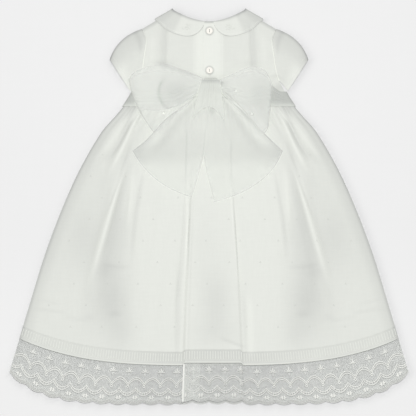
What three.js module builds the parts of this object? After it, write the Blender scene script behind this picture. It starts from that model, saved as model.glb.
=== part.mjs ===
// A baby's christening gown of white lawn, laid flat on its front with the back uppermost.
// Millimetres. X runs across the gown, Y from the hem up to the neck, Z up from the surface it lies on.
import * as THREE from "three";

// Thickness of the cloths, and the clear gap left at every seam
const LAWN = 1.2;
const SHEER = 1.0;
const HEM_FOLD = 1.6;
const SEAM = 0.3;

// Neck and shoulders
const NECK_HALF = 53;
const NECK_PEAK = 294.3;
const BACK_NECK = 277;
const FRONT_NECK = 248;
const SHOULDER_HALF = 100;
const SHOULDER_Y = 266;
const UNDERARM_HALF = 105.5;
const UNDERARM_Y = 186.75;

// Waist, skirt, hem and lace: drops are measured down the centre from the waist seam
const WAIST_HALF = 121;
const WAIST_Y = 164;
const BAND_DROP = 382;
const HEM_DROP = 402;
const LACE_DROP = 461;
const SIDE_RISE = 46;
const SCALLOPS = 24;
const SCALLOP_DEPTH = 4.5;
const CENTRE_RISE = 4.5;

// Heights: the back rests just over the front and lofts a little away from its edges
const REST_BACK = LAWN + SEAM;
const LOFT = 3;
const EDGE_ROUND = 24;
const GATHERS = 24;
const GATHER_HEIGHT = 1.6;
const GATHER_DROP = 90;

// Fastening and waist sash
const LAP = 9;
const LAP_RISE = LAWN + SEAM;
const LAP_FADE = 24;
const BUTTON_RADIUS = 5;
const BUTTON_THICK = 2;
const BUTTON_EDGE = 0.3;
const BUTTON_HOLE = 0.7;
const BUTTON_HOLE_OUT = 1.5;
const BUTTON_X = 0.75;
const BUTTON_ROWS = [262.8, 203.7];
const SASH_TOP = 172;
const SASH_FOOT = 150;
const SASH_DRAW = 16;
const SASH_LIFT = SHEER + SEAM;
const SASH_CLEAR = 0.5;
const SASH_TURN = 2.9;
const SASH_PLEATS = 3;
const SASH_PLEAT_HEIGHT = 0.8;

// Collar
const COLLAR_LIFT = LAWN + SEAM;
const COLLAR_CLEAR = 0.5;
const COLLAR_FOLD = 2.35;

// Knot of the bow
const KNOT_X = 3;
const KNOT_Y = 183;
const KNOT_Z = 19.7;
const KNOT_HALF = 12;
const KNOT_HALF_Y = 8.6;
const KNOT_HALF_Z = 7.1;
const KNOT_WALL = 1.4;

// Half width of the skirt against the height of its side edge
const SKIRT_SIDE = [
  { y: -250, half: 294 },
  { y: -154, half: 270 },
  { y: -58, half: 240 },
  { y: 38, half: 201 },
  { y: 110, half: 161 },
  { y: 143, half: 135 },
  { y: WAIST_Y, half: WAIST_HALF },
];

// Fold ridges of the back skirt: place on the left and right as a share of the half width
const FOLDS = [
  { left: 0.92, right: 0.91, width: 0.06, height: 3.6, start: 6, end: 170, hem: 0 },
  { left: 0.75, right: 0.74, width: 0.075, height: 4, start: 6, end: 190, hem: 0 },
  { left: 0.67, right: 0.66, width: 0.07, height: 6, start: 70, end: 360, hem: 0.35 },
  { left: 0.54, right: 0.52, width: 0.06, height: 3, start: 60, end: 260, hem: 0 },
  { left: 0.42, right: 0.4, width: 0.085, height: 3.6, start: 70, end: 400, hem: 0.6 },
  { left: 0.85, right: 0.86, width: 0.09, height: 3.2, start: 210, end: 420, hem: 0.7 },
  { left: 0.24, right: 0.27, width: 0.08, height: 2.6, start: 120, end: 420, hem: 0.7 },
];
const FOLD_FADE = 90;

// Box pleat down the centre back: it stands up between its two fold lines
const PLEAT = { left: -0.135, right: 0.175, turn: 0.021, height: 3, start: 120, full: 260 };

// Soft upright trough down each side of the back bodice
const TROUGH = { x: 67, half: 10, depth: 1.4, foot: 195 };

// Armhole seam from shoulder to underarm
const ARMHOLE = [
  { y: UNDERARM_Y, x: UNDERARM_HALF },
  { y: 204, x: 100 },
  { y: 227, x: 96.5 },
  { y: 250, x: 94 },
  { y: SHOULDER_Y, x: SHOULDER_HALF },
];

// Sleeve: hem corners of the short sleeve, and the pull of its rounded top edge
const CUFF_TOP = [148.5, 220];
const CUFF_FOOT = [118.5, 175];
const CAP_PULL = [140, 256];
const CUFF_LOFT = 5;
const SLEEVE_TURN = 0.18;
const UNDERARM_CLEAR = 1.5;

// Collar half: neck point and outer edge, from the centre back to the shoulder fold
const COLLAR_BACK = [
  { neck: 6.5, x: 8, y: 271.5 },
  { neck: 11, x: 13.5, y: 263.5 },
  { neck: 18, x: 21.5, y: 257.6 },
  { neck: 27, x: 32.5, y: 255.4 },
  { neck: 36, x: 46, y: 257.8 },
  { neck: 45, x: 63, y: 264.8 },
  { neck: NECK_HALF, x: 79.5, y: 279 },
];
// The same from the shoulder fold to the centre front, which lies underneath
const COLLAR_FRONT = [
  { neck: NECK_HALF, x: 79.5, y: 279 },
  { neck: 48, x: 77, y: 260 },
  { neck: 40, x: 67, y: 240 },
  { neck: 30, x: 51, y: 223 },
  { neck: 19, x: 33, y: 213.5 },
  { neck: 10, x: 17, y: 212 },
  { neck: 4, x: 6, y: 219 },
];
const FOLD_LINE = [79.5 - NECK_HALF, 279 - NECK_PEAK];

// Bow loops: both selvages of the ribbon from the knot, under, round the outer fold and back over
const LOOP_LEFT = [
  { topX: -9.8, topY: 189, topZ: 16, lowX: -9.8, lowY: 177, lowZ: 17, crown: 0 },
  { topX: -34, topY: 197, topZ: 14.6, lowX: -34, lowY: 149, lowZ: 18, crown: 0 },
  { topX: -69, topY: 201.5, topZ: 14.2, lowX: -61, lowY: 132, lowZ: 17.5, crown: 0 },
  { topX: -103, topY: 197.5, topZ: 15, lowX: -79, lowY: 115, lowZ: 17, crown: 0 },
  { topX: -116, topY: 194, topZ: 21, lowX: -90, lowY: 126, lowZ: 20, crown: 0 },
  { topX: -103.5, topY: 200, topZ: 28, lowX: -95, lowY: 142, lowZ: 25, crown: 2 },
  { topX: -69, topY: 205, topZ: 32, lowX: -74, lowY: 163, lowZ: 29, crown: 4 },
  { topX: -37, topY: 200.5, topZ: 28, lowX: -42, lowY: 178, lowZ: 27, crown: 3 },
  { topX: -9.8, topY: 190, topZ: 22, lowX: -9.8, lowY: 176, lowZ: 23, crown: 0.6 },
];
const LOOP_RIGHT = [
  { topX: 15.8, topY: 189, topZ: 16, lowX: 15.8, lowY: 177, lowZ: 17, crown: 0 },
  { topX: 36, topY: 193.5, topZ: 14.6, lowX: 41, lowY: 155, lowZ: 18, crown: 0 },
  { topX: 61, topY: 201, topZ: 14.2, lowX: 60, lowY: 134, lowZ: 17.5, crown: 0 },
  { topX: 81, topY: 195, topZ: 15, lowX: 75, lowY: 115, lowZ: 17, crown: 0 },
  { topX: 91, topY: 180, topZ: 20, lowX: 85, lowY: 119, lowZ: 19.5, crown: 0 },
  { topX: 81, topY: 199, topZ: 27, lowX: 78, lowY: 114, lowZ: 24, crown: 3 },
  { topX: 60, topY: 204, topZ: 31, lowX: 58, lowY: 136, lowZ: 28, crown: 4 },
  { topX: 36, topY: 194.5, topZ: 28, lowX: 37, lowY: 160, lowZ: 27, crown: 3 },
  { topX: 15.8, topY: 189, topZ: 22, lowX: 15.8, lowY: 176, lowZ: 23, crown: 0.6 },
];

// Bow tails: outer edge, middle and inner edge from the knot down to the slanted end
const TAIL_LEFT = [
  { outX: -7, outY: 173.6, midX: -3.5, midY: 173.8, inX: 0, inY: 173.8, z: 16.4 },
  { outX: -29, outY: 154, midX: -16, midY: 149, inX: -3, inY: 145, z: 15.4 },
  { outX: -64, outY: 128, midX: -36, midY: 116, inX: -7, inY: 107, z: 14.6 },
  { outX: -92, outY: 101, midX: -54, midY: 82, inX: -13, inY: 72, z: 13.4 },
  { outX: -114, outY: 83, midX: -78, midY: 40, inX: -26, inY: 14, z: 12 },
];
const TAIL_RIGHT = [
  { outX: 12.5, outY: 173.6, midX: 9, midY: 173.8, inX: 5.5, inY: 173.8, z: 16.4 },
  { outX: 34, outY: 153, midX: 19, midY: 149, inX: 4.5, inY: 145, z: 15.4 },
  { outX: 61.5, outY: 128, midX: 32, midY: 116, inX: -1.5, inY: 107, z: 14.6 },
  { outX: 88, outY: 102, midX: 47, midY: 82, inX: -5, inY: 70, z: 13.4 },
  { outX: 110, outY: 83, midX: 74, midY: 36, inX: 8, inY: 7, z: 12 },
];
const TAIL_WAVE = 0.9;

const lerp = (a, b, t) => a + (b - a) * t;
const clamp01 = (t) => Math.min(1, Math.max(0, t));
const point = (x, y, z) => new THREE.Vector3(x, y, z);

function smooth(from, to, value) {
  const t = clamp01((value - from) / (to - from));
  return t * t * (3 - 2 * t);
}

// Quarter round: climbs steeply from 0 and levels out at 1
function quarterRound(t) {
  return Math.sqrt(1 - (1 - clamp01(t)) ** 2);
}

// Steps from 0 to 1
function even(count) {
  return Array.from({ length: count + 1 }, (_, i) => i / count);
}

// Steps from the left side at -1 to the right side at 1
function sides(count) {
  return even(count).map((t) => 2 * t - 1);
}

// Value of a table's column on a smooth curve through its rows, looked up by another column
function read(table, by, column, value) {
  const last = table.length - 1;
  let i = 0;
  while (i < last - 1 && table[i + 1][by] < value) i += 1;
  const slope = (k) => {
    const a = table[Math.max(0, k - 1)];
    const b = table[Math.min(last, k + 1)];
    return (b[column] - a[column]) / (b[by] - a[by]);
  };
  const span = table[i + 1][by] - table[i][by];
  const t = clamp01((value - table[i][by]) / span);
  const s = 1 - t;
  return (
    (1 + 2 * t) * s * s * table[i][column] +
    t * s * s * span * slope(i) +
    t * t * (3 - 2 * t) * table[i + 1][column] -
    t * t * s * span * slope(i + 1)
  );
}

// The same where the rows are sections spaced evenly from 0 to 1
function readSection(table, column, t) {
  const spaced = table.map((row, i) => ({ at: i / (table.length - 1), value: row[column] }));
  return read(spaced, "at", "value", t);
}

// Closed shell over a grid of points: surface(u, v) is the middle of the cloth, or with
// upright its lower face, which then gets the thickness straight up.
function wall(surface, us, vs, thickness, upright = false) {
  const grid = us.map((u) => vs.map((v) => surface(u, v)));
  const across = us.length;
  const down = vs.length;
  const at = (i, j) => grid[Math.min(across - 1, Math.max(0, i))][Math.min(down - 1, Math.max(0, j))];
  const normal = (i, j) => {
    const du = at(i + 1, j).clone().sub(at(i - 1, j));
    const dv = at(i, j + 1).clone().sub(at(i, j - 1));
    return du.cross(dv).normalize();
  };
  const middle = normal(Math.floor(across / 2), Math.floor(down / 2));
  const flip = upright && middle.z < 0;
  const skins = [[], []];
  for (let i = 0; i < across; i += 1) {
    for (let j = 0; j < down; j += 1) {
      const out = upright ? point(0, 0, 1) : normal(i, j);
      skins[0].push(at(i, j).clone().addScaledVector(out, upright ? thickness : thickness / 2));
      skins[1].push(at(i, j).clone().addScaledVector(out, upright ? 0 : -thickness / 2));
    }
  }
  const positions = [...skins[0], ...skins[1]].flatMap((p) => p.toArray());
  const outer = (i, j) => i * down + j;
  const inner = (i, j) => across * down + i * down + j;
  const index = [];
  const quad = (a, b, c, d) => (flip ? index.push(a, c, b, a, d, c) : index.push(a, b, c, a, c, d));
  for (let i = 0; i + 1 < across; i += 1) {
    for (let j = 0; j + 1 < down; j += 1) {
      quad(outer(i, j), outer(i + 1, j), outer(i + 1, j + 1), outer(i, j + 1));
      quad(inner(i, j), inner(i, j + 1), inner(i + 1, j + 1), inner(i + 1, j));
    }
    quad(outer(i, 0), inner(i, 0), inner(i + 1, 0), outer(i + 1, 0));
    quad(outer(i + 1, down - 1), inner(i + 1, down - 1), inner(i, down - 1), outer(i, down - 1));
  }
  for (let j = 0; j + 1 < down; j += 1) {
    quad(outer(0, j + 1), inner(0, j + 1), inner(0, j), outer(0, j));
    quad(outer(across - 1, j), inner(across - 1, j), inner(across - 1, j + 1), outer(across - 1, j + 1));
  }
  const geometry = new THREE.BufferGeometry();
  geometry.setAttribute("position", new THREE.Float32BufferAttribute(positions, 3));
  geometry.setIndex(index);
  geometry.computeVertexNormals();
  return geometry;
}

const backNeck = (x) => BACK_NECK + (NECK_PEAK - BACK_NECK) * (Math.abs(x) / NECK_HALF) ** 1.8;
const frontNeck = (x) => FRONT_NECK + (NECK_PEAK - FRONT_NECK) * (Math.abs(x) / NECK_HALF) ** 2.2;

// Half width of the bodice at a height below the shoulder
function bodiceHalf(y) {
  if (y >= UNDERARM_Y) return read(ARMHOLE, "y", "x", y);
  return lerp(UNDERARM_HALF, WAIST_HALF, (UNDERARM_Y - y) / (UNDERARM_Y - WAIST_Y));
}

// How far the front is lifted off the surface by the collar and the sash that lie under it
function frontLift(x, y) {
  const collar = 1 - smooth(1.05, 1.5, Math.hypot(x / 84, (y - 262) / 54));
  const sash = smooth(130, 146, y) * (1 - smooth(176, 190, y));
  return COLLAR_LIFT * collar + SASH_LIFT * sash;
}

// Lower face of the back bodice: low along the shoulder and side seams, lofted between them
function bodiceRest(x, y) {
  const slope = Math.hypot(SHOULDER_HALF - NECK_HALF, NECK_PEAK - SHOULDER_Y);
  const fromShoulder =
    ((NECK_HALF - Math.abs(x)) * (NECK_PEAK - SHOULDER_Y) +
      (NECK_PEAK - y) * (SHOULDER_HALF - NECK_HALF)) / slope;
  const fromSide = bodiceHalf(y) - Math.abs(x) + EDGE_ROUND * smooth(188, 204, y);
  const loft = smooth(0, EDGE_ROUND, fromShoulder) * smooth(0, EDGE_ROUND, fromSide);
  const away = (Math.abs(x) - TROUGH.x) / TROUGH.half;
  const trough = TROUGH.depth * Math.exp(-away * away) * smooth(TROUGH.foot, TROUGH.foot + 20, y);
  return frontLift(x, y) + REST_BACK + (LOFT - trough) * loft;
}

const lapRise = (x) => LAP_RISE * (1 - smooth(LAP, LAP_FADE, x));

// Right half of the bodice in plan, from its inner edge to armhole and side, neck to waist
function bodicePlan(u, v, neck, innerX) {
  const waist = WAIST_Y + SEAM / 2;
  const top = (t) => {
    if (t < 0.5) {
      const x = lerp(innerX, NECK_HALF, t / 0.5);
      return [x, neck(x)];
    }
    const s = (t - 0.5) / 0.5;
    return [lerp(NECK_HALF, SHOULDER_HALF, s), lerp(NECK_PEAK, SHOULDER_Y, s)];
  };
  const outer = (t) => {
    const y = lerp(SHOULDER_Y, waist, t);
    return [bodiceHalf(y), y];
  };
  const inner = (t) => [innerX, lerp(neck(innerX), waist, t)];
  const foot = (t) => [lerp(innerX, bodiceHalf(waist), t), waist];
  return [0, 1].map(
    (k) =>
      lerp(top(u)[k], foot(u)[k], v) +
      lerp(inner(v)[k], outer(v)[k], u) -
      lerp(lerp(top(0)[k], top(1)[k], u), lerp(foot(0)[k], foot(1)[k], u), v),
  );
}

function bodiceFront() {
  const surface = (s, v) => {
    const [x, y] = bodicePlan(Math.abs(s), v, frontNeck, 0);
    return point(Math.sign(s) * x, y, frontLift(x, y));
  };
  return wall(surface, sides(16), even(11), LAWN, true);
}

// side is 1 for the right back, which laps over the left one
function bodiceBack(side) {
  const surface = (u, v) => {
    const [x, y] = bodicePlan(u, v, backNeck, -LAP);
    const lap = side > 0 ? lapRise(x) : 0;
    return point(side * x, y, bodiceRest(x, y) + lap);
  };
  return wall(surface, even(12), even(12), LAWN, true);
}

// Short sleeve: one cut piece, from the underarm along the lower layer, round the top fold
// and back over the upper layer
function sleeve(side) {
  const armhole = (b) => {
    const y = lerp(SHOULDER_Y, UNDERARM_Y + UNDERARM_CLEAR, b);
    return [bodiceHalf(y) + 2 * SEAM, y];
  };
  const cuff = (b) => [lerp(CUFF_TOP[0], CUFF_FOOT[0], b), lerp(CUFF_TOP[1], CUFF_FOOT[1], b)];
  const plan = (a, b) =>
    [0, 1].map((k) => {
      const start = armhole(0)[k];
      const line = lerp(start, CUFF_TOP[k], a);
      const cap = (1 - a) ** 2 * start + 2 * a * (1 - a) * CAP_PULL[k] + a * a * CUFF_TOP[k];
      return lerp(armhole(b)[k], cuff(b)[k], a) + (1 - b) ** 2 * (cap - line);
    });
  const surface = (a, w) => {
    const b = Math.abs(w);
    const [x, y] = plan(a, b);
    if (w < 0) return point(side * x, y, LAWN / 2);
    const atArmhole = bodiceRest(armhole(b)[0], armhole(b)[1]);
    const atCuff = CUFF_LOFT * (1 - 0.68 * smooth(0.55, 1, b));
    const rise = lerp(atArmhole, atCuff, smooth(0, 0.7, a)) * quarterRound(b / SLEEVE_TURN);
    return point(side * x, y, LAWN / 2 + rise);
  };
  const upper = [0.03, 0.09, 0.18, 0.36, 0.54, 0.72, 0.86, 1];
  const round = [-1, -0.66, -0.33, -0.1, 0, ...upper];
  return wall(surface, even(8), round, LAWN);
}

function collar(side) {
  const edge = (table, neck, t, b) => {
    const inner = readSection(table, "neck", t);
    return [
      lerp(inner, readSection(table, "x", t), b),
      lerp(neck(inner), readSection(table, "y", t), b),
    ];
  };
  const length = Math.hypot(...FOLD_LINE);
  const outward = [-FOLD_LINE[1] / length, FOLD_LINE[0] / length];
  const surface = (t, b) => {
    if (t <= 1) {
      const [x, y] = edge(COLLAR_BACK, backNeck, t, b);
      const lap = LAP_RISE * (1 - smooth(22, 36, x));
      return point(side * x, y, bodiceRest(x, y) + LAWN + lap + COLLAR_CLEAR + LAWN / 2);
    }
    if (t < 2) {
      const turn = (t - 1) * Math.PI;
      const out = COLLAR_FOLD * Math.sin(turn);
      const x = NECK_HALF + FOLD_LINE[0] * b + outward[0] * out;
      const y = NECK_PEAK + FOLD_LINE[1] * b + outward[1] * out;
      return point(side * x, y, LAWN / 2 + COLLAR_FOLD * (1 + Math.cos(turn)));
    }
    const [x, y] = edge(COLLAR_FRONT, frontNeck, t - 2, b);
    return point(side * x, y, LAWN / 2);
  };
  const turns = [1.25, 1.5, 1.75];
  const along = [...even(9), ...turns, ...even(8).map((t) => t + 2)];
  return wall(surface, along, even(4), LAWN);
}

function skirtHalf(drop) {
  const side = WAIST_Y - drop + (SIDE_RISE * drop) / LACE_DROP;
  return read(SKIRT_SIDE, "y", "half", side);
}

const inPleat = (u) =>
  smooth(PLEAT.left - PLEAT.turn / 2, PLEAT.left + PLEAT.turn / 2, u) *
  (1 - smooth(PLEAT.right - PLEAT.turn / 2, PLEAT.right + PLEAT.turn / 2, u));

// Place of the skirt in plan: u from -1 at the left side to 1 at the right
function skirtPlan(u, drop) {
  const belowHem = clamp01((drop - HEM_DROP) / (LACE_DROP - HEM_DROP));
  const sweep = SIDE_RISE * Math.abs(u) ** lerp(3.2, 6, belowHem);
  return [u * skirtHalf(drop), WAIST_Y - drop + (sweep * drop) / LACE_DROP];
}

// The same for the back, whose hem sits higher across the box pleat
function skirtBackPlan(u, drop) {
  const [x, y] = skirtPlan(u, drop);
  return [x, y + (CENTRE_RISE * inPleat(u) * drop) / LACE_DROP];
}

// Lower face of the back skirt: rounded sides, small gathers under the waist, long folds, box pleat
function skirtRest(u, drop) {
  const [x, y] = skirtBackPlan(u, drop);
  const inside = (1 - Math.abs(u)) * skirtHalf(drop);
  const edge = quarterRound(inside / EDGE_ROUND);
  let rise = LOFT * edge;
  for (const fold of FOLDS) {
    const away = (Math.abs(u) - (u < 0 ? fold.left : fold.right)) / fold.width;
    const ridge = Math.exp(-away * away * 1.6);
    const fadeIn = smooth(fold.start, fold.start + FOLD_FADE, drop);
    const fadeOut = 1 - (1 - fold.hem) * smooth(fold.end - FOLD_FADE, fold.end, drop);
    rise += fold.height * ridge * fadeIn * fadeOut * edge;
  }
  const wave = 0.5 + 0.5 * Math.cos(Math.PI * GATHERS * u);
  rise += GATHER_HEIGHT * wave * (1 - smooth(20, GATHER_DROP, drop)) * edge;
  rise += PLEAT.height * inPleat(u) * smooth(PLEAT.start, PLEAT.full, drop);
  return frontLift(x, y) + REST_BACK + rise;
}

const BACK_COLUMNS = sides(4 * SCALLOPS);
const FRONT_COLUMNS = sides(32);
const BACK_ROWS = [SEAM / 2, 14, 32, 56, 88, 130, 180, 240, 310, BAND_DROP - SEAM / 2];
const FRONT_ROWS = [SEAM / 2, 16, 24, 34, 56, 88, 130, 200, 290, BAND_DROP - SEAM / 2];
const BAND_ROWS = [BAND_DROP + SEAM / 2, HEM_DROP - SEAM / 2];

function skirtBack(rows, thickness) {
  const surface = (u, drop) => point(...skirtBackPlan(u, drop), skirtRest(u, drop));
  return wall(surface, BACK_COLUMNS, rows, thickness, true);
}

function skirtFront(rows, thickness) {
  const surface = (u, drop) => {
    const [x, y] = skirtPlan(u, drop);
    return point(x, y, frontLift(x, y));
  };
  return wall(surface, FRONT_COLUMNS, rows, thickness, true);
}

// Lace edging: its lower edge is scalloped
function lace(isBack, steps) {
  const surface = (u, t) => {
    const bulge = Math.abs(Math.sin((Math.PI * SCALLOPS * u) / 2));
    const foot = LACE_DROP - SCALLOP_DEPTH * (1 - bulge);
    const drop = lerp(HEM_DROP + SEAM / 2, foot, t);
    if (isBack) return point(...skirtBackPlan(u, drop), skirtRest(u, drop));
    return point(...skirtPlan(u, drop), 0);
  };
  return wall(surface, BACK_COLUMNS, even(steps), SHEER, true);
}

// Half width of the gown at the heights that the sash covers
const gownHalf = (y) => (y >= WAIST_Y ? bodiceHalf(y) : skirtHalf(WAIST_Y - y));

// Lower face of the sash over the waist seam of the back
function sashRest(x) {
  const edge = quarterRound((WAIST_HALF - Math.abs(x)) / EDGE_ROUND);
  const lap = LAP_RISE * (1 - smooth(30, 52, Math.abs(x)));
  const under = SASH_LIFT + REST_BACK + (LOFT + GATHER_HEIGHT) * edge + lap + LAWN;
  return under + SASH_CLEAR;
}

// Back sash from under the knot to the side, where it turns down round the edge to the front sash
function sashBack(side) {
  const reach = [0.25, 14, 28, 40, 52, 68, 84, 98, 108, 115, 119];
  const turn = [
    { x: WAIST_HALF + 0.6, z: 5.5 },
    { x: WAIST_HALF + 2, z: 4.4 },
    { x: WAIST_HALF + 2.4, z: 3 },
    { x: WAIST_HALF + 2.4, z: 1.9 },
  ];
  const path = [...reach.map((x) => ({ x, z: sashRest(x) + SHEER / 2 })), ...turn];
  const surface = (i, t) => {
    const { x, z } = path[i];
    const drawnUp = 1 - smooth(6, 70, x);
    const y = lerp(SASH_FOOT + SASH_DRAW * drawnUp, SASH_TOP + SASH_DRAW * drawnUp, t);
    const flare = (gownHalf(y) - WAIST_HALF) * smooth(60, 119, x);
    const pleat = SASH_PLEAT_HEIGHT * Math.sin(Math.PI * SASH_PLEATS * t) ** 2;
    return point(side * (x + flare), y, z + pleat * smooth(14, 28, x) * (1 - smooth(108, 119, x)));
  };
  return wall(surface, path.map((_, i) => i), even(2 * SASH_PLEATS), SHEER);
}

function sashFront() {
  const surface = (s, t) => {
    const y = lerp(SASH_FOOT, SASH_TOP, t);
    return point(s * (gownHalf(y) + SASH_TURN), y, 0);
  };
  return wall(surface, sides(4), even(6), SHEER, true);
}

function bowLoop(table) {
  const surface = (t, v) => {
    const at = (column) => readSection(table, column, t);
    const crown = at("crown") * 4 * v * (1 - v);
    return point(
      lerp(at("topX"), at("lowX"), v),
      lerp(at("topY"), at("lowY"), v),
      lerp(at("topZ"), at("lowZ"), v) + crown,
    );
  };
  return wall(surface, even(24), even(6), SHEER);
}

function bowTail(table) {
  const surface = (t, v) => {
    const at = (column) => readSection(table, column, t);
    const quadratic = (out, mid, inn) => {
      const pull = 2 * at(mid) - (at(out) + at(inn)) / 2;
      return (1 - v) ** 2 * at(out) + 2 * v * (1 - v) * pull + v * v * at(inn);
    };
    const wave = TAIL_WAVE * Math.cos(3 * Math.PI * v) * smooth(0.1, 0.5, t);
    return point(quadratic("outX", "midX", "inX"), quadratic("outY", "midY", "inY"), at("z") + wave);
  };
  return wall(surface, even(9), even(9), SHEER);
}

// Knot: a band of the ribbon wrapped once round, its ends meeting underneath
function bowKnot() {
  const surface = (t, v) => {
    const turn = lerp(0.03, 0.97, v) * 2 * Math.PI;
    const waist = 1 - 0.12 * Math.sin(Math.PI * t);
    return point(
      lerp(KNOT_X - KNOT_HALF, KNOT_X + KNOT_HALF, t),
      KNOT_Y - KNOT_HALF_Y * waist * Math.sin(turn),
      KNOT_Z - KNOT_HALF_Z * Math.cos(turn),
    );
  };
  return wall(surface, even(5), even(18), KNOT_WALL);
}

// Two-hole button: rounded disc, the holes one above the other
function button() {
  const disc = new THREE.Shape().absarc(0, 0, BUTTON_RADIUS - BUTTON_EDGE, 0, 2 * Math.PI);
  for (const y of [-BUTTON_HOLE_OUT, BUTTON_HOLE_OUT]) {
    disc.holes.push(new THREE.Path().absarc(0, y, BUTTON_HOLE + BUTTON_EDGE, 0, 2 * Math.PI, true));
  }
  const bevel = { bevelThickness: BUTTON_EDGE, bevelSize: BUTTON_EDGE, bevelSegments: 1 };
  const settings = { depth: BUTTON_THICK - 2 * BUTTON_EDGE, curveSegments: 6, ...bevel };
  return new THREE.ExtrudeGeometry(disc, settings).translate(0, 0, BUTTON_EDGE);
}

const gown = new THREE.Group();

function finish(color, roughness) {
  return new THREE.MeshStandardMaterial({ color, roughness, metalness: 0 });
}
const lawn = finish(0xe6e8e1, 0.9);
const organza = finish(0xdcded7, 0.6);
const laceThread = finish(0xd6d7d3, 0.85);
const pearl = finish(0xebe8de, 0.4);

function add(name, geometry, material) {
  const mesh = new THREE.Mesh(geometry, material.clone());
  mesh.name = name;
  gown.add(mesh);
  return mesh;
}

add("bodice_front", bodiceFront(), lawn);
add("skirt_front", skirtFront(FRONT_ROWS, LAWN), lawn);
add("hem_band_front", skirtFront(BAND_ROWS, LAWN), lawn);
add("lace_front", lace(false, 1), laceThread);
add("sash_front", sashFront(), organza);
add("skirt_back", skirtBack(BACK_ROWS, LAWN), lawn);
add("hem_band_back", skirtBack(BAND_ROWS, HEM_FOLD), lawn);
add("lace_back", lace(true, 2), laceThread);
for (const [name, side] of [["left", -1], ["right", 1]]) {
  add(`bodice_back_${name}`, bodiceBack(side), lawn);
  add(`sleeve_${name}`, sleeve(side), lawn);
  add(`collar_${name}`, collar(side), lawn);
  add(`sash_back_${name}`, sashBack(side), organza);
}
add("bow_loop_left", bowLoop(LOOP_LEFT), organza);
add("bow_loop_right", bowLoop(LOOP_RIGHT), organza);
add("bow_tail_left", bowTail(TAIL_LEFT), organza);
add("bow_tail_right", bowTail(TAIL_RIGHT), organza);
add("bow_knot", bowKnot(), organza);
BUTTON_ROWS.forEach((y, i) => {
  const mesh = add(`button_${i + 1}`, button(), pearl);
  mesh.position.set(BUTTON_X, y, bodiceRest(0, y) + LAP_RISE + LAWN + SEAM);
});

export default gown;
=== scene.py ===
"""A baby's christening gown of white lawn, laid flat with its back up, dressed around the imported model.

Shapes are worked out in millimetres in the model's own frame: X across the gown, Y from the hem up to
the neck, Z up from the surface that it lies on.
"""
import math

import bpy
import numpy as np
from bpy.props import FloatProperty, FloatVectorProperty, PointerProperty
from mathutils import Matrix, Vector
from mathutils.bvhtree import BVHTree
from mathutils.kdtree import KDTree


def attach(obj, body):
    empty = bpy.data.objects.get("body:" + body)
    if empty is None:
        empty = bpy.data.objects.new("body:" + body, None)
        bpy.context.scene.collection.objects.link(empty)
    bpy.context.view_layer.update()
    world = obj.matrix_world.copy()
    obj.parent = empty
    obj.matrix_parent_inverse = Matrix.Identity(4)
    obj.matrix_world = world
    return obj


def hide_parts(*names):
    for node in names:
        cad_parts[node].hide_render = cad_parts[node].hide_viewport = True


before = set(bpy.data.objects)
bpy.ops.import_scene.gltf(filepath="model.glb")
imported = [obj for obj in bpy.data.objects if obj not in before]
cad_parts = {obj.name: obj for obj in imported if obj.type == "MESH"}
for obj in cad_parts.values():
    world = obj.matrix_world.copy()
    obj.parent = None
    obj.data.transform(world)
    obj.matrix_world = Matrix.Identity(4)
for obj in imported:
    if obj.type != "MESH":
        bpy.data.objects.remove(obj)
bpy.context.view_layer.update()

bl_info = {
    "name": "Christening gown",
    "version": (1, 0, 0),
    "blender": (4, 5, 0),
    "location": "3D View > Sidebar > Gown",
    "description": "Dresses the packed christening gown with cloth, lace, bow and buttons",
    "category": "Object",
}

MM = 0.001


def table(columns, *rows):
    """Rows of numbers as named columns."""
    return dict(zip(columns.split(), np.array(rows, float).T))


# Thickness of the cloths, and the clear gap at every seam
LAWN = 1.2
SHEER = 1.0
NET = 0.7
DRAWN_LAWN = 0.5
HEM_FOLD = 1.6
HEM_TUCK = 3
SEAM = 0.3

# The pieces that come in pairs, and the sign of X on their side
SIDES = (("left", -1), ("right", 1))

# Neck and shoulders
NECK_HALF = 53
NECK_PEAK = 294.3
BACK_NECK = 277
FRONT_NECK = 248
SHOULDER_HALF = 100
SHOULDER_Y = 266
UNDERARM_HALF = 105.5
UNDERARM_Y = 186.75

# Waist, skirt, hem and lace: drops are measured down the centre from the waist seam
WAIST_HALF = 118
WAIST_Y = 164
BAND_DROP = 382
LADDER_DROP = 385
FOLD_DROP = 396
HEM_DROP = 402
LACE_DROP = 461
SIDE_RISE = 46
SCALLOPS = 24
SCALLOP_DEPTH = 3.4
CENTRE_RISE = 4.5

# Heights: the back rests just over the front and lofts a little away from its edges
REST_BACK = LAWN + SEAM
LOFT = 3
EDGE_ROUND = 24
GATHERS = 24
GATHER_HEIGHT = 1.6
GATHER_DROP = 90

# Fastening and waist sash
LAP = 9
LAP_RISE = LAWN + SEAM
LAP_FADE = 24
PLACKET = {"left": -24, "right": 22.5, "top": 274, "foot": 196, "thick": 0.35}
BUTTON_X = 0.75
BUTTON_ROWS = (262.8, 203.7)
BUTTON_HOLE = 0.95
BUTTON_HOLE_OUT = 1.3
BUTTON_RADIUS = 5
SASH_TOP = 172
SASH_FOOT = 150
SASH_DRAW = 16
SASH_LIFT = SHEER + SEAM
SASH_CLEAR = 0.5
SASH_TURN = 2.9
SASH_PLEATS = 4
SASH_PLEAT_HEIGHT = 1.1
# Distance from the middle past which painted shade darkens the sash, where it turns under at the side seams
SASH_SHADED_FROM = {"left": 105, "right": 84}
# How far the right back sash is pushed up near its side
SASH_RUCK = 11

# Collar
COLLAR_LIFT = LAWN + SEAM
COLLAR_CLEAR = 0.5
COLLAR_AREA = {"y": 262, "across": 84, "down": 54}
COLLAR_FOLD = 2.35
COLLAR_FLOWERS = ((-30.6, 268.8), (28.5, 268.8))
FLOWER_SIZE = 11

# Knot of the bow
KNOT_CENTRE = (3, 183, 19.7)
KNOT_HALF = (12, 8.6, 7.1)
KNOT_WALL = 1.4
KNOT_PLEATS = 5
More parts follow.
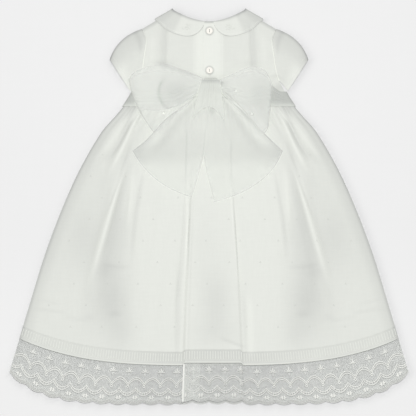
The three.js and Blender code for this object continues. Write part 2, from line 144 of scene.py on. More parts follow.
# The ribbon's end that falls from the top of the knot and spreads over the tails
FALL = {
    "top": 189,
    "foot": 149,
    "top_half": 13,
    "foot_half": 23,
    "foot_x": -1,
    "split": 18,
    "top_z": 28,
    "foot_z": 19.4,
}

# Sleeve: hem corners of the short sleeve, and the pull of its rounded top edge
CUFF_TOP = (148.5, 220)
CUFF_FOOT = (118.5, 173.5)
CAP_PULL = (137.5, 254)
CUFF_LOFT = 5
CUFF_HEM = 0.885
SLEEVE_TURN = 0.18
UNDERARM_CLEAR = 1.5
PUCKERS = 15
PUCKER_HEIGHT = 0.12
PIPING_SIDES = 6

# Half width of the skirt against the height of its side edge
SKIRT_SIDE = table(
    "y half",
    (-250, 299.5),
    (-154, 271),
    (-58, 241),
    (38, 202),
    (110, 162),
    (143, 133.5),
    (WAIST_Y, WAIST_HALF),
)

# Fold ridges of the back skirt: place on the left and right as a share of the half width
FOLDS = table(
    "left right width height start end hem",
    (0.92, 0.91, 0.06, 3.6, 6, 170, 0),
    (0.75, 0.74, 0.075, 4, 6, 190, 0),
    (0.67, 0.66, 0.07, 6, 70, 360, 0.35),
    (0.54, 0.52, 0.06, 3, 60, 260, 0),
    (0.42, 0.4, 0.085, 3.6, 70, 400, 0.6),
    (0.85, 0.86, 0.09, 3.2, 210, 420, 0.7),
    (0.24, 0.27, 0.08, 2.6, 120, 420, 0.7),
)
FOLD_FADE = 90

# Sprigs: the rows that they fill, and the three stitches of each
SPRIG_ROWS = {"top": 110, "foot": -200, "step": 0.62}
SPRIG_STITCH = {"inner": 0.25, "outer": 1.7, "width": 1.1}

# Box pleat down the centre back: it stands up between its two fold lines
PLEAT = {"left": -0.135, "right": 0.175, "turn": 0.016, "height": 3, "start": 80, "full": 220}

# Creases in plan, from the upper end to the lower: the crest falls away over the widths to its left and
# right, a height below 0 is a trough, and shade is the painted shade along it, lighter below 0
CREASE_COLUMNS = "x0 y0 x1 y1 bend left right height shade"
# The left half of the back skirt: the right half is its mirror image
SIDE_CREASES = table(
    CREASE_COLUMNS,
    (-126, 131, -163, 74, 2, 5, 5, 1.5, -0.3),
    (-116, 148, -158, 66, 8, 3.5, 3.5, -1.6, 0.4),
    (-104, 146, -151, 50, 3, 5, 5, 2.2, -0.5),
    (-113, 98, -155, -12, 0, 2.5, 2.5, -1.3, 0.28),
    (-129, 54, -180, -116, 0, 7, 5, 2.6, -0.65),
    (-117, 72, -164, -104, 0, 4, 14, -1.2, 0.18),
    (-113, 58, -122, -30, 0, 4, 4, 1.4, -0.3),
    (-97, 56, -117, -80, -2, 3, 3, -1.2, 0.4),
    (-162, -86, -117, -91, -2, 4, 3, -0.6, 0.2),
    (-264, -154, -214, -160, 0, 2.5, 3, -0.5, 0.15),
    (-260, -140, -223, -148, 0, 2, 2.5, -0.5, 0.1),
    (-220, -167, -181, -173, 0, 2.5, 3, -0.5, 0.1),
)
# Both folds of the box pleat, and the painted shadow between bow loops and tails
CENTRE_CREASES = table(
    CREASE_COLUMNS,
    (-35, 30, -48, -145, 2, 2, 2.5, -1.4, 0.3),
    (-46, -90, -48.5, -235, 0, 3, 4, -1.4, 0.35),
    (-33, 45, -36, -245, 0, 2, 2, 0.8, -0.5),
    (-28.5, 35, -34, -90, 0, 1.8, 1.8, -0.6, 0.15),
    (36, 35, 53, -175, -2.5, 2, 2, -0.8, 0.25),
    (52, -125, 54, -235, 0, 2.5, 2.5, -0.8, 0.25),
    (32, 35, 46, -135, 0, 2, 2, 0.6, -0.4),
    (60, -135, 63, -235, 0, 5, 5, 0.8, -0.3),
    (16, -197, 56, -212, 0, 2, 2, -0.8, 0.4),
    (-33, 125, -35, 32, 0, 1.3, 1.3, -0.3, 0.8),
    (33, 120, 34, 34, 0, 1.3, 1.3, -0.3, 0.6),
    (-44, 146, -78, 108, 0, 4, 4, 0, 0.7),
    (40, 152, 80, 106, 0, 4, 4, 0, 0.7),
)

# Spots of painted shade on a cloth, for the shade in its troughs and under and beside the bow; below 0 they
# paint it lighter
SHADE_SPOT_COLUMNS = "x y across down shade"
SIDE_SHADE_SPOTS = table(
    SHADE_SPOT_COLUMNS,
    (-142, -120, 22, 80, 0.45),
    (-150, -152, 34, 48, 0.25),
    (-186, -46, 25, 42, 0.25),
    (-131, -35, 16, 45, 0.25),
    (-158, -97, 16, 12, 0.22),
    (-150, -141, 20, 26, 0.15),
    (-141, -161, 10, 5, 0.25),
    (-180, -166, 8, 5, 0.2),
    (-127, -190, 18, 24, 0.2),
    (-113, 148, 10, 7, 0.5),
)
CENTRE_SHADE_SPOTS = table(
    SHADE_SPOT_COLUMNS,
    (10, -142, 22, 42, 0.45),
    (8, -190, 36, 22, 0.25),
    (-4, -60, 24, 60, 0.12),
)
BODICE_SHADE_SPOTS = table(
    SHADE_SPOT_COLUMNS,
    (-66, 214, 17, 6, 0.25),
    (62, 214, 15, 6, 0.2),
    (108, 180, 8, 6, 0.7),
    (-114, 177, 5, 4, 0.7),
    (2, 191, 11, 4, 1),
)
SASH_SHADE_SPOTS = table(
    SHADE_SPOT_COLUMNS,
    (26, 166, 10, 12, 0.6),
    (-30, 156, 12, 8, 0.4),
)
# Red, green and blue of the cloth, as a share of its own, where the painted shade is 1: the painted shade is
# a little cool
PAINTED_SHADE_TINT = (0.8, 0.8, 0.808)

# Painted shade of each cloth, darker above 0 and lighter below 0: "cloth" is all over it, and the others are
# added in the places that they name
BODICE_SHADE = {"cloth": 0.45, "fastening": -0.4, "shoulder": 1.1, "neck": 2.0, "button": 1.2}
SLEEVE_SHADE = {"cloth": 0.55, "turn": 0.8, "top": 0.45, "corner": 0.4, "gather": 0.4, "cuff": -0.35}
COLLAR_SHADE = {"cloth": 0.3, "side": 0.5, "shoulder": 0.5, "neck": 1.5, "edge": 1.3, "flower": 0.45}
PIPING_SHADE = {"cloth": -0.5, "shoulder": 0.9}
SKIRT_SHADE = {"cloth": 0.22, "turn": 0.7, "edge": 0.4, "side": 0.32, "sprig": 1.2}
HEM_SHADE = {"fold": 0.1, "ladder": 0.3, "middle": 0.45}
NET_SHADE = {"cloth": 0.85, "middle": 0.25, "hem": 0.1, "scallops": -0.45, "lap": 0.1}
SASH_SHADE = {"cloth": 0.35, "side": 1.3}
LOOP_SHADE = -0.1
TAIL_SHADE = {"darker_above": 0.6, "roll": -0.9, "beside": 0.5, "upper": 0.9}
KNOT_SHADE = 0.3
FALL_SHADE = {"cloth": 0.6, "middle": -0.3, "foot": 0.2, "top": 0.9}
BUTTON_THREAD_SHADE = 1.6

# Soft troughs and ridges of the back bodice, and the shadow of the bow's upper edge painted on it
BODICE_CREASES = table(
    CREASE_COLUMNS,
    (-65, 300, -69, 190, 0, 6, 4, -2, 0.42),
    (62, 300, 67, 190, 0, 4, 6, -2, 0.42),
    (-84, 262, -86, 205, 0, 7, 5, 0.7, -0.15),
    (80, 262, 84, 205, 0, 5, 7, 0.7, -0.15),
    (-48, 250, -46, 200, 0, 9, 9, 0.5, 0),
    (44, 250, 42, 200, 0, 9, 9, 0.5, 0),
    (-80, 216, -6, 191, 0, 3, 3, 0, 0.7),
)

# Armhole seam from underarm to shoulder
ARMHOLE = table(
    "y x",
    (UNDERARM_Y, UNDERARM_HALF),
    (204, 100),
    (227, 96.5),
    (250, 94),
    (SHOULDER_Y, SHOULDER_HALF),
)

# Collar half: neck point and outer edge, from the centre back to the shoulder fold
COLLAR_BACK = table(
    "neck x y",
    (6.5, 8, 271.5),
    (11, 13.5, 263.5),
    (18, 21.5, 257.6),
    (27, 32.5, 255.4),
    (36, 46, 257.8),
    (45, 63, 264.8),
    (NECK_HALF, 79.5, 279),
)
# The same from the shoulder fold to the centre front, which lies underneath
COLLAR_FRONT = table(
    "neck x y",
    (NECK_HALF, 79.5, 279),
    (48, 77, 260),
    (40, 67, 240),
    (30, 51, 223),
    (19, 33, 213.5),
    (10, 17, 212),
    (4, 6, 219),
)
FOLD_LINE = np.array((79.5 - NECK_HALF, 279 - NECK_PEAK))

# Bow loops: both selvages of the ribbon from the knot, under, round the outer fold and back over
LOOP_COLUMNS = "topX topY topZ lowX lowY lowZ crown bulge"
LOOP_LEFT = table(
    LOOP_COLUMNS,
    (-9.8, 189, 16, -9.8, 177, 17, 0, 0),
    (-34, 197, 14.6, -34, 149, 18, 0, 0),
    (-69, 203, 14.2, -61, 133, 17.5, 0, 0),
    (-105, 199, 15, -79, 111, 17, 0, -2),
    (-119.5, 190, 21, -92, 124, 20, 0, -5),
    (-107, 202.5, 28, -100, 142.5, 25, 2, -2),
    (-69, 211.5, 32, -74, 143, 29, 4, 0),
    (-37, 203, 28, -42, 152, 27, 3, 0),
    (-9.8, 192, 22, -9.8, 176, 23, 0.6, 0),
)
LOOP_RIGHT = table(
    LOOP_COLUMNS,
    (15.8, 189, 16, 15.8, 177, 17, 0, 0),
    (36, 193.5, 14.6, 41, 155, 18, 0, 0),
    (61, 203, 14.2, 60, 134, 17.5, 0, 0),
    (83, 197, 15, 77, 111, 17, 0, 0),
    (95, 179, 20, 89, 122, 19.5, 0, 0),
    (84, 202, 27, 80, 109, 24, 3, 0),
    (62, 208, 31, 60, 132.5, 28, 4, 0),
    (36, 197.5, 28, 38, 151, 27, 3, 0),
    (15.8, 189, 22, 15.8, 176, 23, 0.6, 0),
)
LOOP_CREASES = table(
    CREASE_COLUMNS,
    (-64, 196, -68, 148, -8.7, 1.8, 3.5, -1, 1.5),
    (-74, 163, -36, 144, -9, 2.5, 2, -1, 1.3),
    (-80, 213, -4, 192, 0, 3, 3, 0, 0.5),
    (32, 188, 76, 188, 0, 2, 2, -0.8, 0.3),
)

# Bow tails: outer edge, middle and inner edge from the knot down to the slanted end
TAIL_COLUMNS = "outX outY midX midY inX inY z"
TAIL_LEFT = table(
    TAIL_COLUMNS,
    (-7, 173.6, -3.5, 173.8, 0, 173.8, 16.4),
    (-30.5, 156, -14, 149, 0, 145, 16.2),
    (-65.5, 130, -34, 116, -6.6, 107, 15.6),
    (-92, 101, -52, 82, -9.5, 72, 14.2),
    (-114, 83, -78, 40, -26, 14, 12),
)
TAIL_RIGHT = table(
    TAIL_COLUMNS,
    (12.5, 173.6, 9, 173.8, 5.5, 173.8, 16.4),
    (35.5, 155, 17, 149, 1, 145, 14.6),
    (63, 130, 28, 116, -6, 107, 13.6),
    (89, 103, 46, 82, -7, 70, 12.8),
    (110, 83, 74, 36, 8, 7, 12),
)
TAIL_WAVE = 0.9
LOOP_SHADE_SPOTS = table(
    SHADE_SPOT_COLUMNS,
    (-50, 170, 20, 18, 0.85),
    (-85, 116, 6, 7, 0.9),
    (-72, 130, 16, 10, 0.3),
    (19, 184.5, 3, 2.5, 1.6),
    (30, 158, 12, 18, 0.05),
    (74, 163, 18, 30, 0.6),
)
TAIL_SHADE_SPOTS = table(
    SHADE_SPOT_COLUMNS,
    (-70, 84, 30, 18, 0.3),
    (-104, 78, 13, 14, 0.55),
    (80, 84, 30, 18, 0.3),
    (101, 78, 13, 14, 0.5),
    (5, 144, 3, 6, 1.6),
    (-8, 120, 22, 18, -0.3),
)
# Height in plan below which the tails are no longer painted darker
TAIL_DARKER_FOOT = 56
BOW_SPRIGS = ((-68, 139), (40, 172), (63.6, 138))

# Raised threads of the lace: drops of their rows below the hem, on scallops of this width
SCALLOP_WIDTH = 24.75
FLOWER_ROW = 11.5
UPPER_ROWS = (19, 21.8)
UPPER_DIP = 9
RING_ROW = 32
LOWER_ROWS = (34, 37.4)
LOWER_DIP = 8
SPRAY_ROW = 48.5
SPRAY_TURNS = (0, 55, 125, 180, 235, 305)
SCALLOP_INSETS = (0.7, 2.6, 4.4)
# Where the ends of the edging lap, from the left fold of the box pleat as a share of the half width
LACE_LAP = {"start": 0.002, "end": 0.088, "fold": 0.004}
# Petals of the flower between two scallops: the way each points in degrees, its length and its width
FLOWER_PETALS = table(
    "turn long wide",
    (90, 6.5, 2.4),
    (48, 5, 2.2),
    (132, 5, 2.2),
    (8, 6, 1.8),
    (172, 6, 1.8),
    (270, 5, 1.6),
)

# Camera: straight down on the middle of the photograph, whose frame is this wide on the floor
FRAME_WIDTH = 624
FRAME_CENTRE = (-1.5, -2.25)
SENSOR = 36

# Floor: a sheet of paper divided finely round the gown, and the painted shadow and light on it there
FLOOR_HALF = 4000
FLOOR_FINE_HALF = 340
FLOOR_FINE_STEPS = 201
FLOOR_Z = -0.2
FLOOR_SHADE = {"beside": 0.15, "lee": 0.45, "reach": 8.5, "foot": -0.2}
# Light: an even sky, and a round softbox over the gown, placed in metres and given in watts
WORLD_LIGHT = 0.38
SOFTBOX = {"size": 0.7, "power": 72, "y": 0.35, "z": 3}


def mix(a, b, t):
    return a + (b - a) * t


def smooth(start, end, value):
    t = np.clip((value - start) / (end - start), 0, 1)
    return t * t * (3 - 2 * t)


def quarter_round(t):
    """Climbs steeply from 0 and levels out at 1."""
    return np.sqrt(1 - (1 - np.clip(t, 0, 1)) ** 2)


def bell(value):
    return np.exp(-value * value)


def sweep(us, vs):
    return np.meshgrid(us, vs, indexing="ij")


def points(x, y, z):
    return np.stack(np.broadcast_arrays(x, y, z), axis=-1).astype(float)


def read(rows, by, column, value):
    """A column's value on a smooth curve through its rows, looked up by another column."""
    x, y = rows[by], rows[column]
    last = len(x) - 1
    value = np.clip(value, x[0], x[-1])
    i = np.clip(np.searchsorted(x, value) - 1, 0, last - 1)
    before = np.maximum(np.arange(last + 1) - 1, 0)
    after = np.minimum(np.arange(last + 1) + 1, last)
    slope = (y[after] - y[before]) / (x[after] - x[before])
    span = x[i + 1] - x[i]
    t = (value - x[i]) / span
    s = 1 - t
    start = (1 + 2 * t) * s * s * y[i] + t * s * s * span * slope[i]
    return start + t * t * (3 - 2 * t) * y[i + 1] - t * t * s * span * slope[i + 1]


def section(rows, column, t):
    """The same where the rows are sections spaced evenly from 0 to 1."""
    spaced = {"at": np.linspace(0, 1, len(rows[column])), "value": rows[column]}
    return read(spaced, "at", "value", t)


def creases(rows, x, y, column):
    """Height or shade that a table's creases add at places in plan. Each fades out at its two ends."""
    total = np.zeros(np.broadcast(x, y).shape)
    lines = [rows[name] for name in CREASE_COLUMNS.split()[:7]]
    for x0, y0, x1, y1, bend, left, right, size in zip(*lines, rows[column]):
        run_x, run_y = x1 - x0, y1 - y0
        length = math.hypot(run_x, run_y)
        along = ((x - x0) * run_x + (y - y0) * run_y) / length**2
        across = ((y - y0) * run_x - (x - x0) * run_y) / length - bend * 4 * along * (1 - along)
        fade = smooth(-0.12, 0.3, along) * (1 - smooth(0.7, 1.12, along))
        total += size * fade * bell(across / np.where(across < 0, left, right))
    return total


def painted_shade_spots(rows, x, y):
    """Painted shade that a table's spots add at places in plan."""
    total = np.zeros(np.broadcast(x, y).shape)
    for x0, y0, across, down, shade in zip(*rows.values()):
        total += shade * bell((x - x0) / across) * bell((y - y0) / down)
    return total


def grid_faces(at):
    """Faces between the neighbours of a grid, from the numbers of its points."""
    return np.stack((at[:-1, :-1], at[1:, :-1], at[1:, 1:], at[:-1, 1:]), -1).reshape(-1, 4)


def shell(middle, thickness, upright=False):
    """Closed thin wall over a grid of points: they are its middle, or with upright its lower face."""
    across, down = middle.shape[:2]
    out = np.cross(np.gradient(middle, axis=0), np.gradient(middle, axis=1))
    flip = upright and out[across // 2, down // 2, 2] < 0
    if upright:
        skins = (middle + (0, 0, thickness), middle)
    else:
        out *= thickness / 2 / np.maximum(np.linalg.norm(out, axis=2, keepdims=True), 1e-9)
        skins = (middle + out, middle - out)
    count = across * down
    at = np.arange(count).reshape(across, down)
    upper = grid_faces(at)
    edge = np.concatenate((at[:-1, 0], at[-1, :-1], at[:0:-1, -1], at[0, :0:-1]))
    following = np.roll(edge, -1)
    rim = np.stack((following, edge, edge + count, following + count), -1)
    faces = np.concatenate((upper, upper[:, ::-1] + count, rim))
    return np.concatenate([skin.reshape(-1, 3) for skin in skins]), faces[:, ::-1] if flip else faces


def tube(path, radius, sides=4, flat=1.0):
    """Closed thread along a path, its radius one number or one for each point, pressed flat in height."""
    path = np.asarray(path, float)
    along = np.gradient(path, axis=0)
    along /= np.linalg.norm(along, axis=1, keepdims=True)
    side = np.cross(along, (0, 0, 1))
    side[np.linalg.norm(side, axis=1) < 1e-3] = (1, 0, 0)
    side /= np.linalg.norm(side, axis=1, keepdims=True)
    up = np.cross(side, along) * flat
    turn = 2 * math.pi * (np.arange(sides) + 0.5) / sides
    reach = np.broadcast_to(radius, len(path))[:, None, None]
    around = np.cos(turn)[:, None] * side[:, None] + np.sin(turn)[:, None] * up[:, None]
    rings = path[:, None] + reach * around
    at = np.arange(len(path) * sides).reshape(len(path), sides)
    beside = np.roll(at, -1, axis=1)
    walls = np.stack((at[:-1], at[1:], beside[1:], beside[:-1]), -1).reshape(-1, 4)
    fan = np.array([(0, k, k + 1, k + 2) for k in range(1, sides - 1, 2)])
    return rings.reshape(-1, 3), np.concatenate((walls, at[0][fan], at[-1][fan[:, ::-1]]))


# Width of a satin stitch along its length
SPINDLE = np.array((0.3, 0.75, 1, 0.75, 0.3))


def petal(start, end, width, flat=0.5):
    """Satin-stitched lens from start to end."""
    path = mix(np.array(start, float), np.array(end, float), np.linspace(0, 1, len(SPINDLE))[:, None])
    return tube(path, SPINDLE * width / 2, 6, flat)


def turned(profile, sides):
    """Closed solid turned about Z from a profile of radius and height."""
    turn = 2 * math.pi * np.arange(sides) / sides
    rings = np.array([points(r * np.cos(turn), r * np.sin(turn), z) for r, z in profile])
    at = np.arange(len(profile) * sides).reshape(len(profile), sides)
    beside = np.roll(at, -1, axis=1)
    walls = np.stack((at[:-1], beside[:-1], beside[1:], at[1:]), -1).reshape(-1, 4)
    fan = np.array([(0, k, k + 1, k + 2) for k in range(1, sides - 1, 2)])
    return rings.reshape(-1, 3), np.concatenate((walls, at[0][fan[:, ::-1]], at[-1][fan]))


class Making:
    """Gathers the closed shapes of one piece, each with its finish."""

    def __init__(self):
        self.points = []
        self.faces = []
        self.finishes = []
        self.uses = []
        self.shades = []
        self.count = 0

    def add(self, shape, finish, shade=0):
        """shade is the painted shade, lighter below 0: one number, or one for each point or for a shell's
        grid.
        """
        places, faces = shape
        shade = np.ravel(shade)
        skins = len(places) // len(shade)
        self.shades.append(np.tile(shade, skins))
        if finish not in self.finishes:
            self.finishes.append(finish)
        self.points.append(places)
        self.faces.append(faces + self.count)
        self.uses.append(np.full(len(faces), self.finishes.index(finish)))
        self.count += len(places)
        return self

    def stitches(self, path, finish, length=1.9, pitch=2.8):
        """Runs a row of stitches along a path."""
        steps = np.linalg.norm(np.diff(path, axis=0), axis=1)
        measure = np.concatenate(((0,), np.cumsum(steps)))
        for start in np.arange(pitch / 2, measure[-1] - length, pitch):
            at = np.linspace(start, start + length, 4)
            thread = np.stack([np.interp(at, measure, path[:, k]) for k in range(3)], -1)
            self.add(tube(thread, (0.14, 0.24, 0.24, 0.14)), finish)

    def piece(self, name, slot, *nodes, sheer=False):
        """Makes the object. Sheer cloth lets the light through, so it is set to cast no shadow; painted shade
        stands in for it.
        """
        mesh = bpy.data.meshes.new(name)
        mesh.from_pydata((np.concatenate(self.points) * MM).tolist(), [], np.concatenate(self.faces).tolist())
        for finish in self.finishes:
            mesh.materials.append(finish)
        mesh.polygons.foreach_set("material_index", np.concatenate(self.uses))
        # Painted shade for each point, which the materials read to darken the colour
        hollow = mesh.attributes.new("hollow", "FLOAT", "POINT")
        hollow.data.foreach_set("value", np.concatenate(self.shades).astype(np.float32))
        mesh.shade_smooth()
        mesh.set_sharp_from_angle(angle=math.radians(55))
        mesh.update()
        made = bpy.data.objects.new(name, mesh)
        bpy.context.scene.collection.objects.link(made)
        made.visible_shadow = not sheer
        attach(made, "root")
        if nodes:
            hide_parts(*nodes)
        return made

    def tree(self):
        """Looks up what lies on top at a place in plan."""
        return BVHTree.FromPolygons(np.concatenate(self.points).tolist(), np.concatenate(self.faces).tolist())


def linear(code):
    """sRGB hex colour as linear red, green and blue."""
    parts = [int(code[i : i + 2], 16) / 255 for i in (1, 3, 5)]
    return tuple(p / 12.92 if p <= 0.04045 else ((p + 0.055) / 1.055) ** 2.4 for p in parts)


def add_node(tree, kind, inputs=None, **settings):
    """Adds a node with its settings, and sets its inputs or links them to another node's output."""
    made = tree.nodes.new(kind)
    for name, value in settings.items():
        setattr(made, name, value)
    for socket, value in (inputs or {}).items():
        if isinstance(value, bpy.types.NodeSocket):
            tree.links.new(value, made.inputs[socket])
        else:
            made.inputs[socket].default_value = value
    return made


def empty_material(name):
    """A new material with no nodes in it."""
    material = bpy.data.materials.new(name)
    material.use_nodes = True
    material.node_tree.nodes.clear()
    return material


def cover(tree, look):
    """Ends a material's tree with its surface."""
    surface = add_node(tree, "ShaderNodeBsdfPrincipled", look)
    add_node(tree, "ShaderNodeOutputMaterial", {"Surface": surface.outputs["BSDF"]})


# A wave texture runs through one period in this length at scale 1
WAVE_PERIOD = math.pi / 10


def woven(name, colour, thread, slub, relief, contrast, roughness, alpha=1.0, sheen=0.0):
    """Woven cloth: threads both ways, and slubs that run along them and shade the colour a little.

    thread and slub are their spacing and relief their height, in millimetres. The mesh's hollow attribute
    holds painted shade, which darkens the colour, or lightens it below 0.
    """
    if name in bpy.data.materials:
        return bpy.data.materials[name]
    material = empty_material(name)
    tree = material.node_tree
    place = add_node(tree, "ShaderNodeTexCoord").outputs["Object"]
    scale = WAVE_PERIOD / (thread * MM)
    warp = add_node(tree, "ShaderNodeTexWave", {"Vector": place, "Scale": scale}, bands_direction="X")
    weft = add_node(tree, "ShaderNodeTexWave", {"Vector": place, "Scale": scale}, bands_direction="Y")
    both_ways = {0: warp.outputs["Fac"], 1: weft.outputs["Fac"]}
    threads = add_node(tree, "ShaderNodeMath", both_ways, operation="ADD")
    slubs = []
    for stretch in ((1, 0.12, 1), (0.12, 1, 1)):
        drawn = add_node(tree, "ShaderNodeMapping", {"Vector": place, "Scale": stretch})
        size = {"Vector": drawn.outputs["Vector"], "Scale": 1 / (slub * MM), "Detail": 2.0}
        slubs.append(add_node(tree, "ShaderNodeTexNoise", size).outputs["Fac"])
    slubbed = add_node(tree, "ShaderNodeMath", {0: slubs[0], 1: slubs[1]}, operation="ADD")
    spread = {"Value": slubbed.outputs[0], "From Min": 0.75, "From Max": 1.25}
    factor = add_node(tree, "ShaderNodeMapRange", spread).outputs["Result"]
    deep = [c * (1 - contrast) for c in colour]
    # Sockets 6 and 7 of a Mix node, and its output 2, are its colours
    ramp = {0: factor, 6: (*deep, 1), 7: (*colour, 1)}
    shade = add_node(tree, "ShaderNodeMix", ramp, data_type="RGBA").outputs[2]
    # Painted shade: the hollow attribute darkens the colour where shade falls, or lightens it below 0
    hollow = add_node(tree, "ShaderNodeAttribute", attribute_name="hollow").outputs["Fac"]
    loss = {0: hollow, 1: [share - 1 for share in PAINTED_SHADE_TINT], 2: (1, 1, 1)}
    left_over = add_node(tree, "ShaderNodeVectorMath", loss, operation="MULTIPLY_ADD").outputs[0]
    shade = add_node(tree, "ShaderNodeVectorMath", {0: shade, 1: left_over}, operation="MULTIPLY").outputs[0]
    raised = {0: slubbed.outputs[0], 1: 1.5, 2: threads.outputs[0]}
    height = add_node(tree, "ShaderNodeMath", raised, operation="MULTIPLY_ADD").outputs[0]
    bump = add_node(tree, "ShaderNodeBump", {"Height": height, "Strength": 0.6, "Distance": relief * MM})
    look = {
        "Base Color": shade,
        "Roughness": roughness,
        "Specular IOR Level": 0.12,
        "IOR": 1.53,
        "Sheen Weight": sheen,
        "Alpha": alpha,
        "Normal": bump.outputs["Normal"],
    }
    cover(tree, look)
    return material


# The real threads of these cloths are 0.1 to 0.4 mm apart, too fine to show, so they are drawn coarser
def lawn_finish():
    # Cotton lawn, plain woven and pressed: matt and white, with faint slubs both ways
    return woven(
        "cotton_lawn_plain_woven", colours().lawn,
        thread=1.5, slub=2.6, relief=0.05, contrast=0.02, roughness=0.9,
    )


def organza_finish():
    # Organza, plain woven of fine twisted thread: crisp and sheer, so it greys what lies under it; its colour
    # is greyer than the lawn's, partly its own and partly painted shade for the shadow it is set not to cast
    return woven(
        "organza_plain_woven", colours().organza,
        thread=1.2, slub=3, relief=0.03, contrast=0.04, roughness=0.9, alpha=0.3,
    )


def gathered_organza_finish():
    # Organza drawn together into a narrow band: so many layers that nothing shows through
    return woven(
        "organza_gathered", colours().gathered,
        thread=1.2, slub=3, relief=0.03, contrast=0.03, roughness=0.9,
    )


def selvage_finish():
    # Rolled and whipped edge of the organza: dense thread, so its two faces let less through
    return woven(
        "organza_rolled_edge", colours().organza,
        thread=0.8, slub=2, relief=0.05, contrast=0.05, roughness=0.85, alpha=0.45,
    )


def net_finish():
    # Cotton bobbin net: hexagons of twisted thread under 1 mm wide, which read as sheer and greyish; painted
    # shade darkens it further, for the shadow that the lace is set not to cast
    return woven(
        "cotton_net_bobbin", colours().net,
        thread=1.6, slub=2.5, relief=0.06, contrast=0.14, roughness=0.8, alpha=0.36,
    )


def thread_finish():
    # Mercerised cotton thread, twisted: white with a soft sheen along the stitches
    return woven(
        "cotton_thread_mercerised", colours().thread,
        thread=0.7, slub=1.5, relief=0.06, contrast=0.05, roughness=0.55, sheen=0.1,
    )


def drawn_thread_finish():
    # Drawn-thread work: bundles of bare lawn threads, a little greyer than the cloth
    return woven(
        "cotton_lawn_drawn_thread", colours().lawn,
        thread=0.8, slub=2, relief=0.08, contrast=0.08, roughness=0.85,
    )


def pearl_finish():
    # Polyester button, cast and tumbled: warm white gloss with cloudy bands like mother of pearl
    name = "polyester_cast_pearl"
    if name in bpy.data.materials:
        return bpy.data.materials[name]
    material = empty_material(name)
    tree = material.node_tree
    place = add_node(tree, "ShaderNodeTexCoord").outputs["Object"]
    cloud = {"Vector": place, "Scale": 1 / (4 * MM), "Detail": 3.0, "Distortion": 1.5}
    factor = add_node(tree, "ShaderNodeTexNoise", cloud).outputs["Fac"]
    pearl = colours().pearl
    bands = {0: factor, 6: (*[0.9 * c for c in pearl], 1), 7: (*pearl, 1)}
    shade = add_node(tree, "ShaderNodeMix", bands, data_type="RGBA").outputs[2]
    look = {"Base Color": shade, "Roughness": 0.55, "IOR": 1.5, "Specular IOR Level": 0.3}
    cover(tree, look)
    return material


def floor_finish():
    # Seamless paper, matt: plain and pale, with a grain that hardly shows
    return woven(
        "paper_seamless_matt", colours().floor,
        thread=3, slub=8, relief=0.01, contrast=0.005, roughness=0.95,
    )


def back_neck(x):
    return BACK_NECK + (NECK_PEAK - BACK_NECK) * (np.abs(x) / NECK_HALF) ** 1.8


def front_neck(x):
    return FRONT_NECK + (NECK_PEAK - FRONT_NECK) * (np.abs(x) / NECK_HALF) ** 2.2


def bodice_half(y):
    """Half width of the bodice at a height below the shoulder."""
    below = mix(UNDERARM_HALF, WAIST_HALF, (UNDERARM_Y - y) / (UNDERARM_Y - WAIST_Y))
    return np.where(y >= UNDERARM_Y, read(ARMHOLE, "y", "x", y), below)


def front_lift(x, y):
    """How far the front is lifted off the surface by the collar and the sash that lie under it."""
    away = np.hypot(x / COLLAR_AREA["across"], (y - COLLAR_AREA["y"]) / COLLAR_AREA["down"])
    collar = 1 - smooth(1.05, 1.5, away)
    sash = smooth(130, 146, y) * (1 - smooth(176, 190, y))
    return COLLAR_LIFT * collar + SASH_LIFT * sash


def from_shoulder(x, y):
    """Distance of a place in plan from the shoulder seam."""
    slope = math.hypot(SHOULDER_HALF - NECK_HALF, NECK_PEAK - SHOULDER_Y)
    rise = (NECK_HALF - np.abs(x)) * (NECK_PEAK - SHOULDER_Y) + (NECK_PEAK - y) * (SHOULDER_HALF - NECK_HALF)
    return rise / slope


def bodice_rest(x, y):
    """Lower face of the back bodice: low along the seams, lofted between them. x is signed."""
    from_side = bodice_half(y) - np.abs(x) + EDGE_ROUND * smooth(188, 204, y)
    loft = smooth(0, EDGE_ROUND, from_shoulder(x, y)) * smooth(0, EDGE_ROUND, from_side)
    return front_lift(x, y) + REST_BACK + (LOFT + creases(BODICE_CREASES, x, y, "height")) * loft


def bodice_shade(x, y):
    """Painted shade of the back bodice: along the shoulders, a shadow under the neck and round each button,
    least at the fastening.
    """
    painted_shade = BODICE_SHADE
    away = np.maximum(PLACKET["left"] - x, x - PLACKET["right"])
    below_neck = back_neck(np.minimum(np.abs(x), NECK_HALF)) - y
    shade = painted_shade["cloth"] + painted_shade["fastening"] * (1 - smooth(-9, 3, away))
    shade = shade + painted_shade["shoulder"] * (1 - smooth(0, 7, from_shoulder(x, y)))
    shade = shade + painted_shade["neck"] * bell(below_neck / 2.4)
    for button_y in BUTTON_ROWS:
        off_rim = np.hypot(x - BUTTON_X, y - button_y) - BUTTON_RADIUS
        shade = shade + painted_shade["button"] * bell((off_rim - 0.6) / 1.5)
    return shade + painted_shade_spots(BODICE_SHADE_SPOTS, x, y) + creases(BODICE_CREASES, x, y, "shade")


def lap_rise(x):
    return LAP_RISE * (1 - smooth(LAP, LAP_FADE, x))


